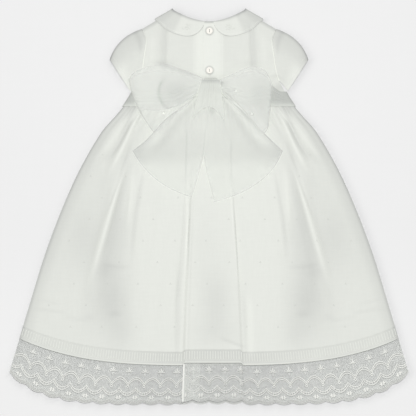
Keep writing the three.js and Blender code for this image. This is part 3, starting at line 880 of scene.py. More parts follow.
def bodice_plan(u, v, neck, inner_x):
    """Right half of the bodice in plan, from its inner edge to armhole and side, neck to waist."""
    waist = WAIST_Y + SEAM / 2
    waist_half = bodice_half(waist)
    neck_x = mix(inner_x, NECK_HALF, np.minimum(u / 0.5, 1))
    shoulder = np.maximum(u - 0.5, 0) / 0.5
    top_x = np.where(u < 0.5, neck_x, mix(NECK_HALF, SHOULDER_HALF, shoulder))
    top_y = np.where(u < 0.5, neck(neck_x), mix(NECK_PEAK, SHOULDER_Y, shoulder))
    outer_y = mix(SHOULDER_Y, waist, v)
    inner_y = mix(neck(inner_x), waist, v)
    foot_x = mix(inner_x, waist_half, u)
    corner_x = mix(mix(inner_x, SHOULDER_HALF, u), foot_x, v)
    corner_y = mix(mix(neck(inner_x), SHOULDER_Y, u), waist, v)
    x = mix(top_x, foot_x, v) + mix(inner_x, bodice_half(outer_y), u) - corner_x
    y = mix(top_y, waist, v) + mix(inner_y, outer_y, u) - corner_y
    return x, y


def bodice_back_top(side, x, y):
    """Upper face of a back at a place in plan: side is 1 for the right one, which laps over the left."""
    return bodice_rest(x, y) + LAWN + (lap_rise(x) if side > 0 else 0)


def armhole(b):
    """Edge of the sleeve along the armhole, from the shoulder at 0 to the underarm at 1."""
    y = mix(SHOULDER_Y, UNDERARM_Y + UNDERARM_CLEAR, b)
    return bodice_half(y) + 2 * SEAM, y


def sleeve_surface(side, a, w):
    """Middle of a sleeve: a from armhole to cuff, w from the underarm, under, over the top and back."""
    b = np.abs(w)
    plan = []
    for k in range(2):
        start = armhole(0)[k]
        line = mix(start, CUFF_TOP[k], a)
        cap = (1 - a) ** 2 * start + 2 * a * (1 - a) * CAP_PULL[k] + a * a * CUFF_TOP[k]
        cuff = mix(CUFF_TOP[k], CUFF_FOOT[k], b)
        plan.append(mix(armhole(b)[k], cuff, a) + (1 - b) ** 2 * (cap - line))
    arm_x, arm_y = armhole(b)
    at_cuff = CUFF_LOFT * (1 - 0.68 * smooth(0.55, 1, b))
    rise = mix(bodice_rest(side * arm_x, arm_y), at_cuff, smooth(0, 0.7, a))
    pucker = PUCKER_HEIGHT * np.cos(2 * math.pi * PUCKERS * b) * bell(a / 0.22)
    pucker = pucker * smooth(0.12, 0.3, b) * (1 - smooth(0.6, 0.8, b))
    hollow = -1.1 * bell((a - 0.45) / 0.2) * bell((b - 0.55) / 0.22)
    hem = 0.45 * smooth(0.87, 0.89, a)
    z = (rise + pucker + hollow + hem) * quarter_round(b / SLEEVE_TURN)
    return points(side * plan[0], plan[1], LAWN / 2 + np.where(w < 0, 0, z))


def collar_lap(x):
    """How far the lapped backs lift the collar."""
    return LAP_RISE * (1 - smooth(22, 36, x))


def collar_surface(side, t, b):
    """Middle of a collar half: t to 1 along the back, to 2 round the shoulder fold, to 3 along the front."""
    back_x = mix(section(COLLAR_BACK, "neck", t), section(COLLAR_BACK, "x", t), b)
    back_y = mix(back_neck(section(COLLAR_BACK, "neck", t)), section(COLLAR_BACK, "y", t), b)
    lap = collar_lap(back_x)
    roll = 0.5 * bell(b / 0.14) * (1 - smooth(0.8, 1, t))
    back_z = bodice_rest(side * back_x, back_y) + LAWN + lap + COLLAR_CLEAR + LAWN / 2 + roll
    front_t = t - 2
    inner = section(COLLAR_FRONT, "neck", front_t)
    front_x = mix(inner, section(COLLAR_FRONT, "x", front_t), b)
    front_y = mix(front_neck(inner), section(COLLAR_FRONT, "y", front_t), b)
    turn = np.clip(t - 1, 0, 1) * math.pi
    outward = np.array((-FOLD_LINE[1], FOLD_LINE[0])) / np.linalg.norm(FOLD_LINE)
    out = COLLAR_FOLD * np.sin(turn)
    fold_x = NECK_HALF + FOLD_LINE[0] * b + outward[0] * out
    fold_y = NECK_PEAK + FOLD_LINE[1] * b + outward[1] * out
    fold_z = LAWN / 2 + COLLAR_FOLD * (1 + np.cos(turn))
    on_back, on_fold = t <= 1, t < 2
    x = np.where(on_back, back_x, np.where(on_fold, fold_x, front_x))
    y = np.where(on_back, back_y, np.where(on_fold, fold_y, front_y))
    z = np.where(on_back, back_z, np.where(on_fold, fold_z, LAWN / 2))
    return points(side * x, y, z)


def skirt_half(drop):
    return read(SKIRT_SIDE, "y", "half", WAIST_Y - drop + SIDE_RISE * drop / LACE_DROP)


def in_pleat(u):
    turn = PLEAT["turn"] / 2
    rise = smooth(PLEAT["left"] - turn, PLEAT["left"] + turn, u)
    return rise * (1 - smooth(PLEAT["right"] - turn, PLEAT["right"] + turn, u))


def skirt_plan(u, drop):
    """Place of the skirt in plan: u from -1 at the left side to 1 at the right."""
    below_hem = np.clip((drop - HEM_DROP) / (LACE_DROP - HEM_DROP), 0, 1)
    rise = SIDE_RISE * np.abs(u) ** mix(3.2, 6, below_hem)
    return u * skirt_half(drop), WAIST_Y - drop + rise * drop / LACE_DROP


def skirt_back_plan(u, drop):
    """The same for the back, whose hem sits higher across the box pleat."""
    x, y = skirt_plan(u, drop)
    return x, y + CENTRE_RISE * in_pleat(u) * drop / LACE_DROP


def skirt_creases(x, y, column):
    return creases(SIDE_CREASES, -np.abs(x), y, column) + creases(CENTRE_CREASES, x, y, column)


def skirt_rest(u, drop):
    """Lower face of the back skirt: rounded sides, gathers under the waist, folds, creases and box pleat."""
    x, y = skirt_back_plan(u, drop)
    edge = quarter_round((1 - np.abs(u)) * skirt_half(drop) / EDGE_ROUND)
    rise = np.zeros(np.shape(x)) + LOFT
    for left, right, width, height, start, end, hem in zip(*FOLDS.values()):
        away = (np.abs(u) - np.where(u < 0, left, right)) / width
        fade_in = smooth(start, start + FOLD_FADE, drop)
        fade_out = 1 - (1 - hem) * smooth(end - FOLD_FADE, end, drop)
        rise = rise + height * np.exp(-away * away * 1.6) * fade_in * fade_out
    wave = 0.5 + 0.5 * np.cos(math.pi * GATHERS * u + 0.9 * np.sin(7 * u))
    rise = rise + GATHER_HEIGHT * wave * (1 - smooth(20, GATHER_DROP, drop))
    rise = (rise + sizes().crease_depth * skirt_creases(x, y, "height")) * edge
    pleat = PLEAT["height"] * smooth(PLEAT["start"], PLEAT["full"], drop)
    lip = 0.5 * bell((u - PLEAT["left"] - PLEAT["turn"]) / 0.008)
    return front_lift(x, y) + REST_BACK + np.maximum(rise, 0.1 * edge) + pleat * (in_pleat(u) + lip)


def skirt_back(u, drop):
    return points(*skirt_back_plan(u, drop), skirt_rest(u, drop))


def skirt_shade(u, drop):
    """Painted shade of the back skirt: most along its side edges, where it turns under, and in its troughs.
    """
    painted_shade = SKIRT_SHADE
    x, y = skirt_back_plan(u, drop)
    out = np.abs(u)
    inward = (1 - out) * skirt_half(drop)
    edge = painted_shade["turn"] * (1 - smooth(0, 6, inward)) + painted_shade["edge"] * (1 - smooth(4, 22, inward))
    side = painted_shade["side"] * smooth(0.5, 0.68, out) * (1 - 0.6 * smooth(240, 330, drop))
    hollow = painted_shade_spots(SIDE_SHADE_SPOTS, -out * skirt_half(drop), y) + painted_shade_spots(CENTRE_SHADE_SPOTS, x, y)
    return np.clip(painted_shade["cloth"] + edge + side + hollow + skirt_creases(x, y, "shade"), 0, 2)


def skirt_front(u, drop):
    x, y = skirt_plan(u, drop)
    return points(x, y, front_lift(x, y))


def lace_front(u, drop):
    return points(*skirt_plan(u, drop), 0)


def skirt_place(x, y):
    """The skirt's own u and drop at a place in plan."""
    drop = WAIST_Y - y
    for _ in range(12):
        u = x / skirt_half(drop)
        drop = drop + skirt_back_plan(u, drop)[1] - y
    return u, drop


def scallop_foot(u):
    bulge = np.abs(np.sin(math.pi * SCALLOPS * u / 2))
    return LACE_DROP - SCALLOP_DEPTH * (1 - bulge)


def gown_half(y):
    return np.where(y >= WAIST_Y, bodice_half(y), skirt_half(np.maximum(WAIST_Y - y, 0)))


def sash_rest(x):
    """Lower face of the sash over the waist seam of the back."""
    edge = quarter_round((WAIST_HALF - np.abs(x)) / EDGE_ROUND)
    lap = LAP_RISE * (1 - smooth(30, 52, np.abs(x)))
    return SASH_LIFT + REST_BACK + (LOFT + GATHER_HEIGHT) * edge + lap + LAWN + SASH_CLEAR


def sash_surface(side, steps, pleat_steps):
    """Middle of a back sash from under the knot to the side, where it turns down to the front sash."""
    end = WAIST_HALF - 2
    reach = np.linspace(0.25, end, steps)
    turn = np.array(((0.6, 5.5), (2, 4.4), (2.4, 3), (2.4, 1.9)))
    x = np.concatenate((reach, WAIST_HALF + turn[:, 0]))
    z = np.concatenate((sash_rest(reach) + SHEER / 2, turn[:, 1]))
    x, t = sweep(x, np.linspace(0, 1, pleat_steps))
    drawn_up = SASH_DRAW * (1 - smooth(6, 70, x))
    rucked = SASH_RUCK * smooth(58, 82, x) * (1 - smooth(98, 113, x)) if side > 0 else 0
    y = mix(SASH_FOOT, SASH_TOP + rucked, t) + drawn_up
    flare = (gown_half(y) - WAIST_HALF) * smooth(60, end, x)
    wander = 0.35 * np.sin(x / 17 + side) + 0.2 * np.sin(x / 7.3)
    pleat = SASH_PLEAT_HEIGHT * np.sin(math.pi * SASH_PLEATS * t + wander) ** 2
    fade = smooth(14, 28, x) * (1 - smooth(end - 11, end, x)) * np.sin(math.pi * t) ** 0.5
    return points(side * (x + flare), y, z[:, None] + pleat * fade)


def loop_surface(rows, t, v):
    """Middle of a bow loop: t along the ribbon from the knot and back to it, v across it."""
    at = {column: section(rows, column, t) for column in rows}
    crown = at["crown"] * 4 * v * (1 - v)
    at_knot = bell(t / 0.16) + bell((1 - t) / 0.2)
    pleats = 0.75 * np.cos(2 * math.pi * 4 * v) * at_knot * smooth(0.02, 0.06, np.minimum(t, 1 - t))
    billow = 0.8 * np.sin(2 * math.pi * (1.3 * v + 0.15)) * smooth(0.55, 0.7, t) * (1 - smooth(0.8, 0.95, t))
    x = mix(at["topX"], at["lowX"], v) + at["bulge"] * 4 * v * (1 - v)
    y = mix(at["topY"], at["lowY"], v)
    dents = creases(LOOP_CREASES, x, y, "height") * smooth(0.55, 0.65, t)
    return points(x, y, mix(at["topZ"], at["lowZ"], v) + crown + pleats + billow + dents)


def tail_surface(rows, t, v):
    """Middle of a bow tail: t down from the knot, v from the outer edge to the inner one."""
    at = {column: section(rows, column, t) for column in rows}
    plan = []
    for axis in "XY":
        out, middle, inner = at["out" + axis], at["mid" + axis], at["in" + axis]
        pull = 2 * middle - (out + inner) / 2
        plan.append((1 - v) ** 2 * out + 2 * v * (1 - v) * pull + v * v * inner)
    wave = TAIL_WAVE * np.cos(3 * math.pi * v) * smooth(0.1, 0.5, t)
    rolled = 1.3 * bell((v - 0.1) / 0.07) * smooth(0.08, 0.3, t) * (1 - smooth(0.75, 0.95, t))
    pleats = 0.6 * np.cos(2 * math.pi * 3 * v) * bell(t / 0.14)
    own = at["z"] + wave + rolled + pleats * smooth(0, 0.05, t)
    skirt = skirt_rest(*skirt_place(*plan)) + LAWN + SHEER
    return points(*plan, np.maximum(own, skirt))


def tail_shade(tail, t, v):
    """How a tail is shaded in paint: darker in its upper part, lighter along the roll, painted shade beside
    the roll and a painted shadow along the outer edge.
    """
    painted_shade = TAIL_SHADE
    x, y = tail[..., 0], tail[..., 1]
    darker_above = painted_shade["darker_above"] * smooth(TAIL_DARKER_FOOT - 2, TAIL_DARKER_FOOT + 20, y)
    along = 1 - smooth(0.65, 0.95, t)
    band = (painted_shade["roll"] * bell((v - 0.1) / 0.06) + painted_shade["beside"] * bell((v - 0.24) / 0.06)) * along
    upper = painted_shade["upper"] * (1 - smooth(0.01, 0.05, v)) * smooth(0.1, 0.3, t)
    return np.clip(darker_above + painted_shade_spots(TAIL_SHADE_SPOTS, x, y) + upper + band, -0.4, 1.5)


def knot_surface(t, v):
    """Middle of the band wrapped once round the bow, its ends meeting underneath."""
    turn = mix(0.03, 0.97, v) * 2 * math.pi
    waist = 1 - 0.12 * np.sin(math.pi * t)
    pleat = 1 + 0.045 * np.cos(2 * math.pi * KNOT_PLEATS * t + 1.6 * np.sin(turn)) * np.sin(turn / 2)
    x = KNOT_CENTRE[0] + (KNOT_HALF[0] - 1.5 + 2.5 * np.sin(turn)) * (2 * t - 1)
    y = KNOT_CENTRE[1] - KNOT_HALF[1] * waist * pleat * np.sin(turn)
    return points(x, y, KNOT_CENTRE[2] - KNOT_HALF[2] * pleat * np.cos(turn))


def knot_fall(t, v):
    """Middle of the ribbon that falls over the knot's front: t across it, v down."""
    half = mix(FALL["top_half"], FALL["foot_half"], v)
    x = mix(KNOT_CENTRE[0], FALL["foot_x"], v) + half * (2 * t - 1)
    y = mix(FALL["top"], FALL["foot"], v) - FALL["split"] * v * v * (2 * t - 1) ** 2
    pleats = 0.7 * np.cos(2 * math.pi * KNOT_PLEATS * t) * np.sin(math.pi * t)
    sides_down = -1.2 * (2 * t - 1) ** 4 * smooth(0, 0.3, v)
    return points(x, y, mix(FALL["top_z"], FALL["foot_z"], smooth(0.15, 0.95, v)) + pleats + sides_down)


def even(count):
    return np.linspace(0, 1, count + 1)


def sides(count):
    return np.linspace(-1, 1, count + 1)


def raised(path, height):
    return path + (0, 0, height)


def flower(making, centre, size, finish, shade):
    """Embroidered flower of six petals round an eye, with two leaves, on a flat place."""
    x, y, z = centre
    for k in range(6):
        turn = math.pi * k / 3
        way = np.array((math.cos(turn), math.sin(turn), 0))
        middle = np.array((x, y, z))
        making.add(petal(middle + 0.16 * size * way, middle + 0.5 * size * way, 0.3 * size), finish, shade)
    eye = petal((x - 0.12 * size, y, z + 0.1), (x + 0.12 * size, y, z + 0.1), 0.24 * size)
    making.add(eye, finish, shade)
    for lean in (-1, 1):
        start = (x + 0.55 * lean * size, y - 0.3 * size, z)
        making.add(petal(start, (x + 0.95 * lean * size, y - 0.1 * size, z), 0.22 * size), finish, shade)


def sprig(making, centre, finish, shade=0):
    """Tiny embroidered sprig: three seed stitches."""
    x, y, z = centre
    for turn in (90, 210, 330):
        way = math.radians(turn)
        ends = [
            (x + out * math.cos(way), y + out * math.sin(way), z)
            for out in (SPRIG_STITCH["inner"], SPRIG_STITCH["outer"])
        ]
        making.add(petal(*ends, SPRIG_STITCH["width"]), finish, shade)


def lower_dip(lean):
    """How far the lower rows of the lace hang: lean is 0 in the middle of a scallop and 1 at its ends."""
    return LOWER_DIP * (1 - (1 - lean) ** 2)


def lace_threads(making, place, finish):
    """Raised threads of the lace, on the net: place(u, drop) gives the net's upper face."""
    radius = sizes().lace_thread / MM
    share = np.linspace(-0.5, 0.5, 15)
    lean = 2 * np.abs(share)
    pitch = 2 / SCALLOPS
    across = pitch / SCALLOP_WIDTH

    def line(u, q, width=1.2, shade=-0.2):
        # Painted shade on the threads: below 0 it paints them lighter, as most are; darker towards the middle
        # of the gown and along the scallop edges
        shade = shade + 0.4 * (1 - smooth(0.25, 0.6, np.abs(u).mean()))
        making.add(tube(place(u, HEM_DROP + q), radius * width, 4, 0.7), finish, shade)

    for k in range(SCALLOPS):
        centre = (2 * k + 1) / SCALLOPS - 1
        u = centre + share * pitch
        for q in UPPER_ROWS:
            line(u, q + UPPER_DIP * lean**2)
        for q in LOWER_ROWS:
            line(u, q + lower_dip(lean))
        for at in share[1:-1:2]:
            bar = np.array(LOWER_ROWS) + lower_dip(abs(2 * at))
            line(np.full(2, centre + at * pitch), bar, 0.8, 0)
        for inset in SCALLOP_INSETS:
            line(u, scallop_foot(u) - HEM_DROP - inset, 1.25 if inset < 1 else 0.9, 0.9)
        for turn in SPRAY_TURNS:
            way = math.radians(turn)
            reach = np.linspace(0.8, 4.6, 5)
            q = SPRAY_ROW - 0.7 * reach * math.sin(way)
            line(centre + reach * math.cos(way) * across, q, SPINDLE * 3, 0)
        if k == SCALLOPS - 1:
            continue
        join = centre + pitch / 2
        for turn, long, wide in zip(*FLOWER_PETALS.values()):
            way = math.radians(turn)
            reach = np.linspace(0.6, long, 5)
            q = FLOWER_ROW - reach * math.sin(way)
            line(join + reach * math.cos(way) * across, q, SPINDLE * wide, 0)
        turn = np.linspace(0, 2 * math.pi, 11)
        line(join + 1.5 * np.cos(turn) * across, RING_ROW + 1.7 * np.sin(turn))


def metres(name, about, default, low=0.0):
    """A length that the panel shows in the scene's own units."""
    return FloatProperty(name=name, description=about, default=default, min=low, unit="LENGTH", precision=4)


def paint(name, about, code):
    """A colour that the panel shows as a swatch."""
    look = {"subtype": "COLOR", "size": 3, "min": 0.0, "max": 1.0}
    return FloatVectorProperty(name=name, description=about, default=linear(code), **look)


class GownSizes(bpy.types.PropertyGroup):
    """Sizes that a user would change"""

    crease_depth: FloatProperty(
        name="Crease depth",
        description="How deep the creases of the skirt are, 1 as laid out",
        default=1.0,
        min=0.0,
        max=1.5,
        subtype="FACTOR",
    )
    lace_thread: metres("Lace thread", "Radius of the raised threads of the lace", 0.5 * MM)
    piping: metres("Piping", "Radius of the corded armhole seam", 0.8 * MM)
    collar_edge: metres("Collar edge", "Radius of the collar's bound edge", 0.55 * MM)
    rolled_edge: metres("Rolled edge", "Radius of the rolled edge of the bow", 0.4 * MM)
    ladder_pitch: metres("Ladder pitch", "Spacing of the bars in the hemstitching", 3.9 * MM, MM)
    sprig_spacing: metres("Sprig spacing", "Distance between the sprigs on the skirt", 52 * MM, 10 * MM)
    camera_height: metres("Camera height", "Height of the camera above the floor", 4.0, 0.5)


class GownColours(bpy.types.PropertyGroup):
    """Colours that a user would change"""

    lawn: paint("Lawn", "One layer of cotton lawn", "#dfe1db")
    # The organza and net colours are greyer than the lawn's, partly as painted shade for the shadow that
    # sheer cloth is set not to cast
    organza: paint("Organza", "Sheer ribbon of the bow", "#d2d4d0")
    gathered: paint("Gathered organza", "Sash drawn round the waist", "#dcdfd8")
    net: paint("Net", "Ground of the lace", "#d2d4d0")
    thread: paint("Thread", "Embroidery, lace threads and stitches", "#e6e7e2")
    pearl: paint("Pearl", "Buttons", "#f2efe8")
    floor: paint("Floor", "Paper that the gown lies on", "#e1e1e1")


def sizes():
    return bpy.context.scene.gown_sizes


def colours():
    return bpy.context.scene.gown_colours


class GOWN_OT_bodice(bpy.types.Operator):
    """Make the bodice front and the two backs with their fastening"""

    bl_idname = "gown.bodice"
    bl_label = "Bodice"

    def execute(self, context):
        s, v = sweep(sides(48), even(40))
        x, y = bodice_plan(np.abs(s), v, front_neck, 0)
        panel = shell(points(np.sign(s) * x, y, front_lift(x, y)), LAWN, True)
        front = Making().add(panel, lawn_finish())
        made = front.piece("bodice_front", "cotton_lawn", "bodice_front")
        for name, side in SIDES:
            making = Making()
            u, v = sweep(even(100), even(100))
            x, y = bodice_plan(u, v, back_neck, -LAP)
            lap = lap_rise(x) if side > 0 else 0
            panel = shell(points(side * x, y, bodice_rest(side * x, y) + lap), LAWN, True)
            making.add(panel, lawn_finish(), bodice_shade(side * x, y))
            self.facing(making, side)
            y = np.linspace(SHOULDER_Y - 3, UNDERARM_Y + 1, 60)
            x = bodice_half(y)
            seam = points(side * (x + SEAM), y, bodice_rest(side * x, y) + LAWN + 0.6)
            # Painted highlight along the piping, with painted shade at its top by the shoulder
            shade = PIPING_SHADE["shoulder"] * smooth(238, 256, y) + PIPING_SHADE["cloth"]
            piping = tube(seam, sizes().piping / MM, PIPING_SIDES)
            making.add(piping, lawn_finish(), np.repeat(shade, PIPING_SIDES))
            node = f"bodice_back_{name}"
            made = making.piece(node, "cotton_lawn", node)
        return {"FINISHED"}

    def facing(self, making, side):
        """Second layer of lawn along the fastening, with its rows of stitches."""
        inner = -LAP + SEAM if side > 0 else LAP + SEAM
        outer = PLACKET["right"] if side > 0 else -PLACKET["left"]
        x, y = sweep(np.linspace(inner, outer, 40), np.linspace(PLACKET["foot"], PLACKET["top"], 90))
        top = bodice_back_top(side, side * x, y)
        strip = points(side * x, y, top + 0.05)
        making.add(shell(strip, PLACKET["thick"], True), lawn_finish(), bodice_shade(side * x, y))
        for column in (3, -4):
            making.stitches(raised(strip[column], PLACKET["thick"] + 0.05), thread_finish())


class GOWN_OT_sleeves(bpy.types.Operator):
    """Make the two short sleeves"""

    bl_idname = "gown.sleeves"
    bl_label = "Sleeves"

    def execute(self, context):
        turn = SLEEVE_TURN * (1 - np.cos(np.linspace(0, math.pi / 2, 12)))
        over = np.concatenate((turn, np.linspace(SLEEVE_TURN, 1, 60)[1:]))
        round_arm = np.concatenate((np.linspace(-1, -0.05, 20), over))
        for name, side in SIDES:
            a, w = sweep(even(60), round_arm)
            shade = self.shade(a, np.abs(w))
            making = Making().add(shell(sleeve_surface(side, a, w), LAWN), lawn_finish(), shade)
            hem = sleeve_surface(side, np.full(60, CUFF_HEM), np.linspace(0.06, 1, 60))
            making.stitches(raised(hem, LAWN / 2 + 0.2), thread_finish())
            node = f"sleeve_{name}"
            made = making.piece(node, "cotton_lawn", node)
        return {"FINISHED"}

    def shade(self, a, b):
        """Painted shade of a sleeve: most along its top edge, where it turns under, least at the cuff."""
        painted_shade = SLEEVE_SHADE
        top = painted_shade["turn"] * (1 - smooth(0, 0.06, b)) + painted_shade["top"] * (1 - smooth(0.05, 0.5, b))
        corner = painted_shade["corner"] * smooth(0.7, 1, a) * (1 - smooth(0.04, 0.2, b))
        gather = painted_shade["gather"] * bell((a - 0.14) / 0.06) * (1 - smooth(0.3, 0.5, b))
        cuff = painted_shade["cuff"] * smooth(0.5, 0.9, a) * smooth(0.2, 0.5, b)
        return painted_shade["cloth"] + top + corner + gather + cuff


class GOWN_OT_collar(bpy.types.Operator):
    """Make the two halves of the round collar with their embroidery"""

    bl_idname = "gown.collar"
    bl_label = "Collar"

    def execute(self, context):
        along = np.concatenate((even(70), np.linspace(1.06, 1.94, 12), 2 + even(40)))
        painted_shade = COLLAR_SHADE
        for (name, side), (flower_x, flower_y) in zip(SIDES, COLLAR_FLOWERS):
            t, b = sweep(along, even(24))
            # Painted shade: darker towards the shoulder fold and round it, and a dark line painted along the
            # neck edge
            shade = painted_shade["cloth"] + painted_shade["side"] * smooth(0.69, 0.78, t)
            shade = shade + painted_shade["shoulder"] * smooth(0.86, 1, t) + painted_shade["neck"] * bell(b / 0.09)
            making = Making().add(shell(collar_surface(side, t, b), LAWN), lawn_finish(), shade)
            rim = collar_surface(side, along, np.full(len(along), 1.0))
            edge = tube(np.maximum(rim, (-1e3, -1e3, 0.6)), sizes().collar_edge / MM, 6)
            # The bound edge is painted darker, standing in for the shadow under the collar's edge
            making.add(edge, lawn_finish(), painted_shade["edge"])
            seam = collar_surface(side, even(70)[2:-2], np.full(67, 0.9))
            making.stitches(raised(seam, LAWN / 2 + 0.05), thread_finish())
            top = bodice_rest(flower_x, flower_y) + 2 * LAWN + collar_lap(abs(flower_x))
            centre = (flower_x, flower_y, float(top) + COLLAR_CLEAR + 0.15)
            # The flower is painted darker, standing in for the shade of its raised stitches
            flower(making, centre, FLOWER_SIZE, lawn_finish(), painted_shade["flower"])
            node = f"collar_{name}"
            made = making.piece(node, "cotton_lawn", node)
        return {"FINISHED"}


class GOWN_OT_skirt(bpy.types.Operator):
    """Make the gathered skirt with its sprigs, and the hemstitched hem"""

    bl_idname = "gown.skirt"
    bl_label = "Skirt and hem"

    def execute(self, context):
        rows = np.linspace(SEAM / 2, BAND_DROP - SEAM / 2, 141)
        front = Making().add(shell(skirt_front(*sweep(sides(64), rows[::4])), LAWN, True), lawn_finish())
        made = front.piece("skirt_front", "cotton_lawn", "skirt_front")
        u, drop = sweep(sides(288), rows)
        back = Making().add(shell(skirt_back(u, drop), LAWN, True), lawn_finish(), skirt_shade(u, drop))
        made = back.piece("skirt_back", "cotton_lawn", "skirt_back")
        sprigs = self.sprigs()
        for name, surface, fold in (("front", skirt_front, LAWN), ("back", skirt_back, HEM_FOLD)):
            self.hem(name, surface, fold)
        return {"FINISHED"}

    def sprigs(self):
        """Sprigs over the back of the skirt, each row half a step along from the last."""
        making = Making()
        step = sizes().sprig_spacing / MM
        for row, y in enumerate(np.arange(SPRIG_ROWS["top"], SPRIG_ROWS["foot"], -SPRIG_ROWS["step"] * step)):
            for x in np.arange(-4.5 * step, 4.5 * step, step) + (0.5 * step if row % 2 else 0):
                u, drop = skirt_place(x + 0.11 * step * math.sin(3 * x + y), y)
                if abs(u) < 0.92 and 20 < drop < BAND_DROP - 14:
                    centre = raised(skirt_back(u, drop), LAWN + 0.1)
                    # The sprigs are painted darker, standing in for the shade of their raised stitches
                    sprig(making, centre, lawn_finish(), SKIRT_SHADE["sprig"])
        return making.piece("skirt_sprigs", "cotton_lawn")

    def hem(self, name, surface, fold):
        """Turned-up hem: a ladder of drawn threads over the plain fold."""
        making = Making()
        drawn = (BAND_DROP - HEM_TUCK, FOLD_DROP, DRAWN_LAWN)
        plain = (FOLD_DROP, HEM_DROP - SEAM / 2, fold)
        for start, end, thick in (drawn, plain):
            u, drop = sweep(sides(288), np.linspace(start, end, 7))
            # Painted shade: darker in the ladder of drawn threads, most in the middle of the hem, and a
            # little on the fold
            ladder = HEM_SHADE["ladder"] + HEM_SHADE["middle"] * (1 - smooth(0.2, 0.6, np.abs(u)))
            shade = skirt_shade(u, drop) + np.where(drop > HEM_DROP - 3, HEM_SHADE["fold"], ladder)
            making.add(shell(surface(u, drop), thick, True), lawn_finish(), shade)
        bars = int(2 * skirt_half(FOLD_DROP) / (sizes().ladder_pitch / MM))
        for u in (np.arange(bars) + 0.5) * 2 / bars - 1:
            drops = np.linspace(LADDER_DROP - 0.4, FOLD_DROP + 0.4, 4)
            bar = raised(surface(np.full(4, u), drops), 0.6)
            making.add(tube(bar, (0.85, 0.6, 0.6, 0.85), 4, 0.65), drawn_thread_finish())
        if name == "back":
            u = sides(288)
            making.stitches(raised(surface(u, np.full(289, FOLD_DROP + 1.2)), fold + 0.1), thread_finish())
        node = f"hem_band_{name}"
        made = making.piece(node, "cotton_lawn", node)


def net_shade(u, drop):
    """Painted shade of the net, for the shadow that the lace is set not to cast: most under the hem and in
    the middle, least where the threads are dense.
    """
    painted_shade = NET_SHADE
    q = drop - HEM_DROP
    middle = painted_shade["middle"] * (1 - smooth(0.25, 0.6, np.abs(u)))
    return painted_shade["cloth"] + middle + painted_shade["hem"] * (1 - smooth(1, 7, q)) + painted_shade["scallops"] * smooth(46, 52, q)


class GOWN_OT_lace(bpy.types.Operator):
    """Make the scalloped lace edging: the net, and the raised threads on it"""

    bl_idname = "gown.lace"
    bl_label = "Lace edging"

    def execute(self, context):
        for name, surface in (("front", lace_front), ("back", skirt_back)):
            u, t = sweep(sides(20 * SCALLOPS), even(20))
            drop = mix(HEM_DROP + SEAM / 2, scallop_foot(u), t)
            making = Making().add(shell(surface(u, drop), NET, True), net_finish(), net_shade(u, drop))
            if name == "back":
                self.lap(making)
            threads = Making()
            lace_threads(threads, lambda u, drop: raised(surface(u, drop), NET), thread_finish())
            raised_work = threads.piece(f"lace_threads_{name}", "lace")
            node = f"lace_{name}"
            made = making.piece(node, "lace", node, sheer=True)
        return {"FINISHED"}

    def lap(self, making):
        """The ends of the edging, lapped at the left fold of the box pleat."""
        reach = np.linspace(PLEAT["left"] + LACE_LAP["start"], PLEAT["left"] + LACE_LAP["end"], 20)
        u, t = sweep(reach, even(20))
        drop = mix(HEM_DROP + 1, scallop_foot(u) - 0.8, t)
        strip = shell(raised(skirt_back(u, drop), NET + 0.25), 0.4, True)
        making.add(strip, net_finish(), NET_SHADE["lap"])
        edge = PLEAT["left"] + LACE_LAP["fold"]
        fold = skirt_back(np.full(30, edge), np.linspace(HEM_DROP + 1, LACE_DROP - 1, 30))
        making.add(tube(raised(fold, NET + 0.8), 1.6, 8, 0.4), thread_finish())


class GOWN_OT_sash(bpy.types.Operator):
    """Make the sheer sash round the waist"""

    bl_idname = "gown.sash"
    bl_label = "Sash"

    def execute(self, context):
        s, t = sweep(sides(40), even(10))
        y = mix(SASH_FOOT, SASH_TOP, t)
        front = shell(points(s * (gown_half(y) + SASH_TURN), y, 0), SHEER, True)
        made = Making().add(front, gathered_organza_finish()).piece("sash_front", "organza", "sash_front")
        for name, side in SIDES:
            surface = sash_surface(side, 90, 41)
            node = f"sash_back_{name}"
            x, y = surface[..., 0], surface[..., 1]
            # Painted shade of the back sash: deepest near its side, where it turns under, with painted shadow
            # in spots beside the bow
            start = SASH_SHADED_FROM[name]
            side_on = smooth(start, start + 10, np.abs(x)) * smooth(SASH_FOOT - 4, SASH_FOOT + 8, y)
            shade = SASH_SHADE["cloth"] + SASH_SHADE["side"] * side_on + painted_shade_spots(SASH_SHADE_SPOTS, x, y)
            making = Making().add(shell(surface, SHEER), gathered_organza_finish(), shade)
            made = making.piece(node, "organza", node)
        return {"FINISHED"}


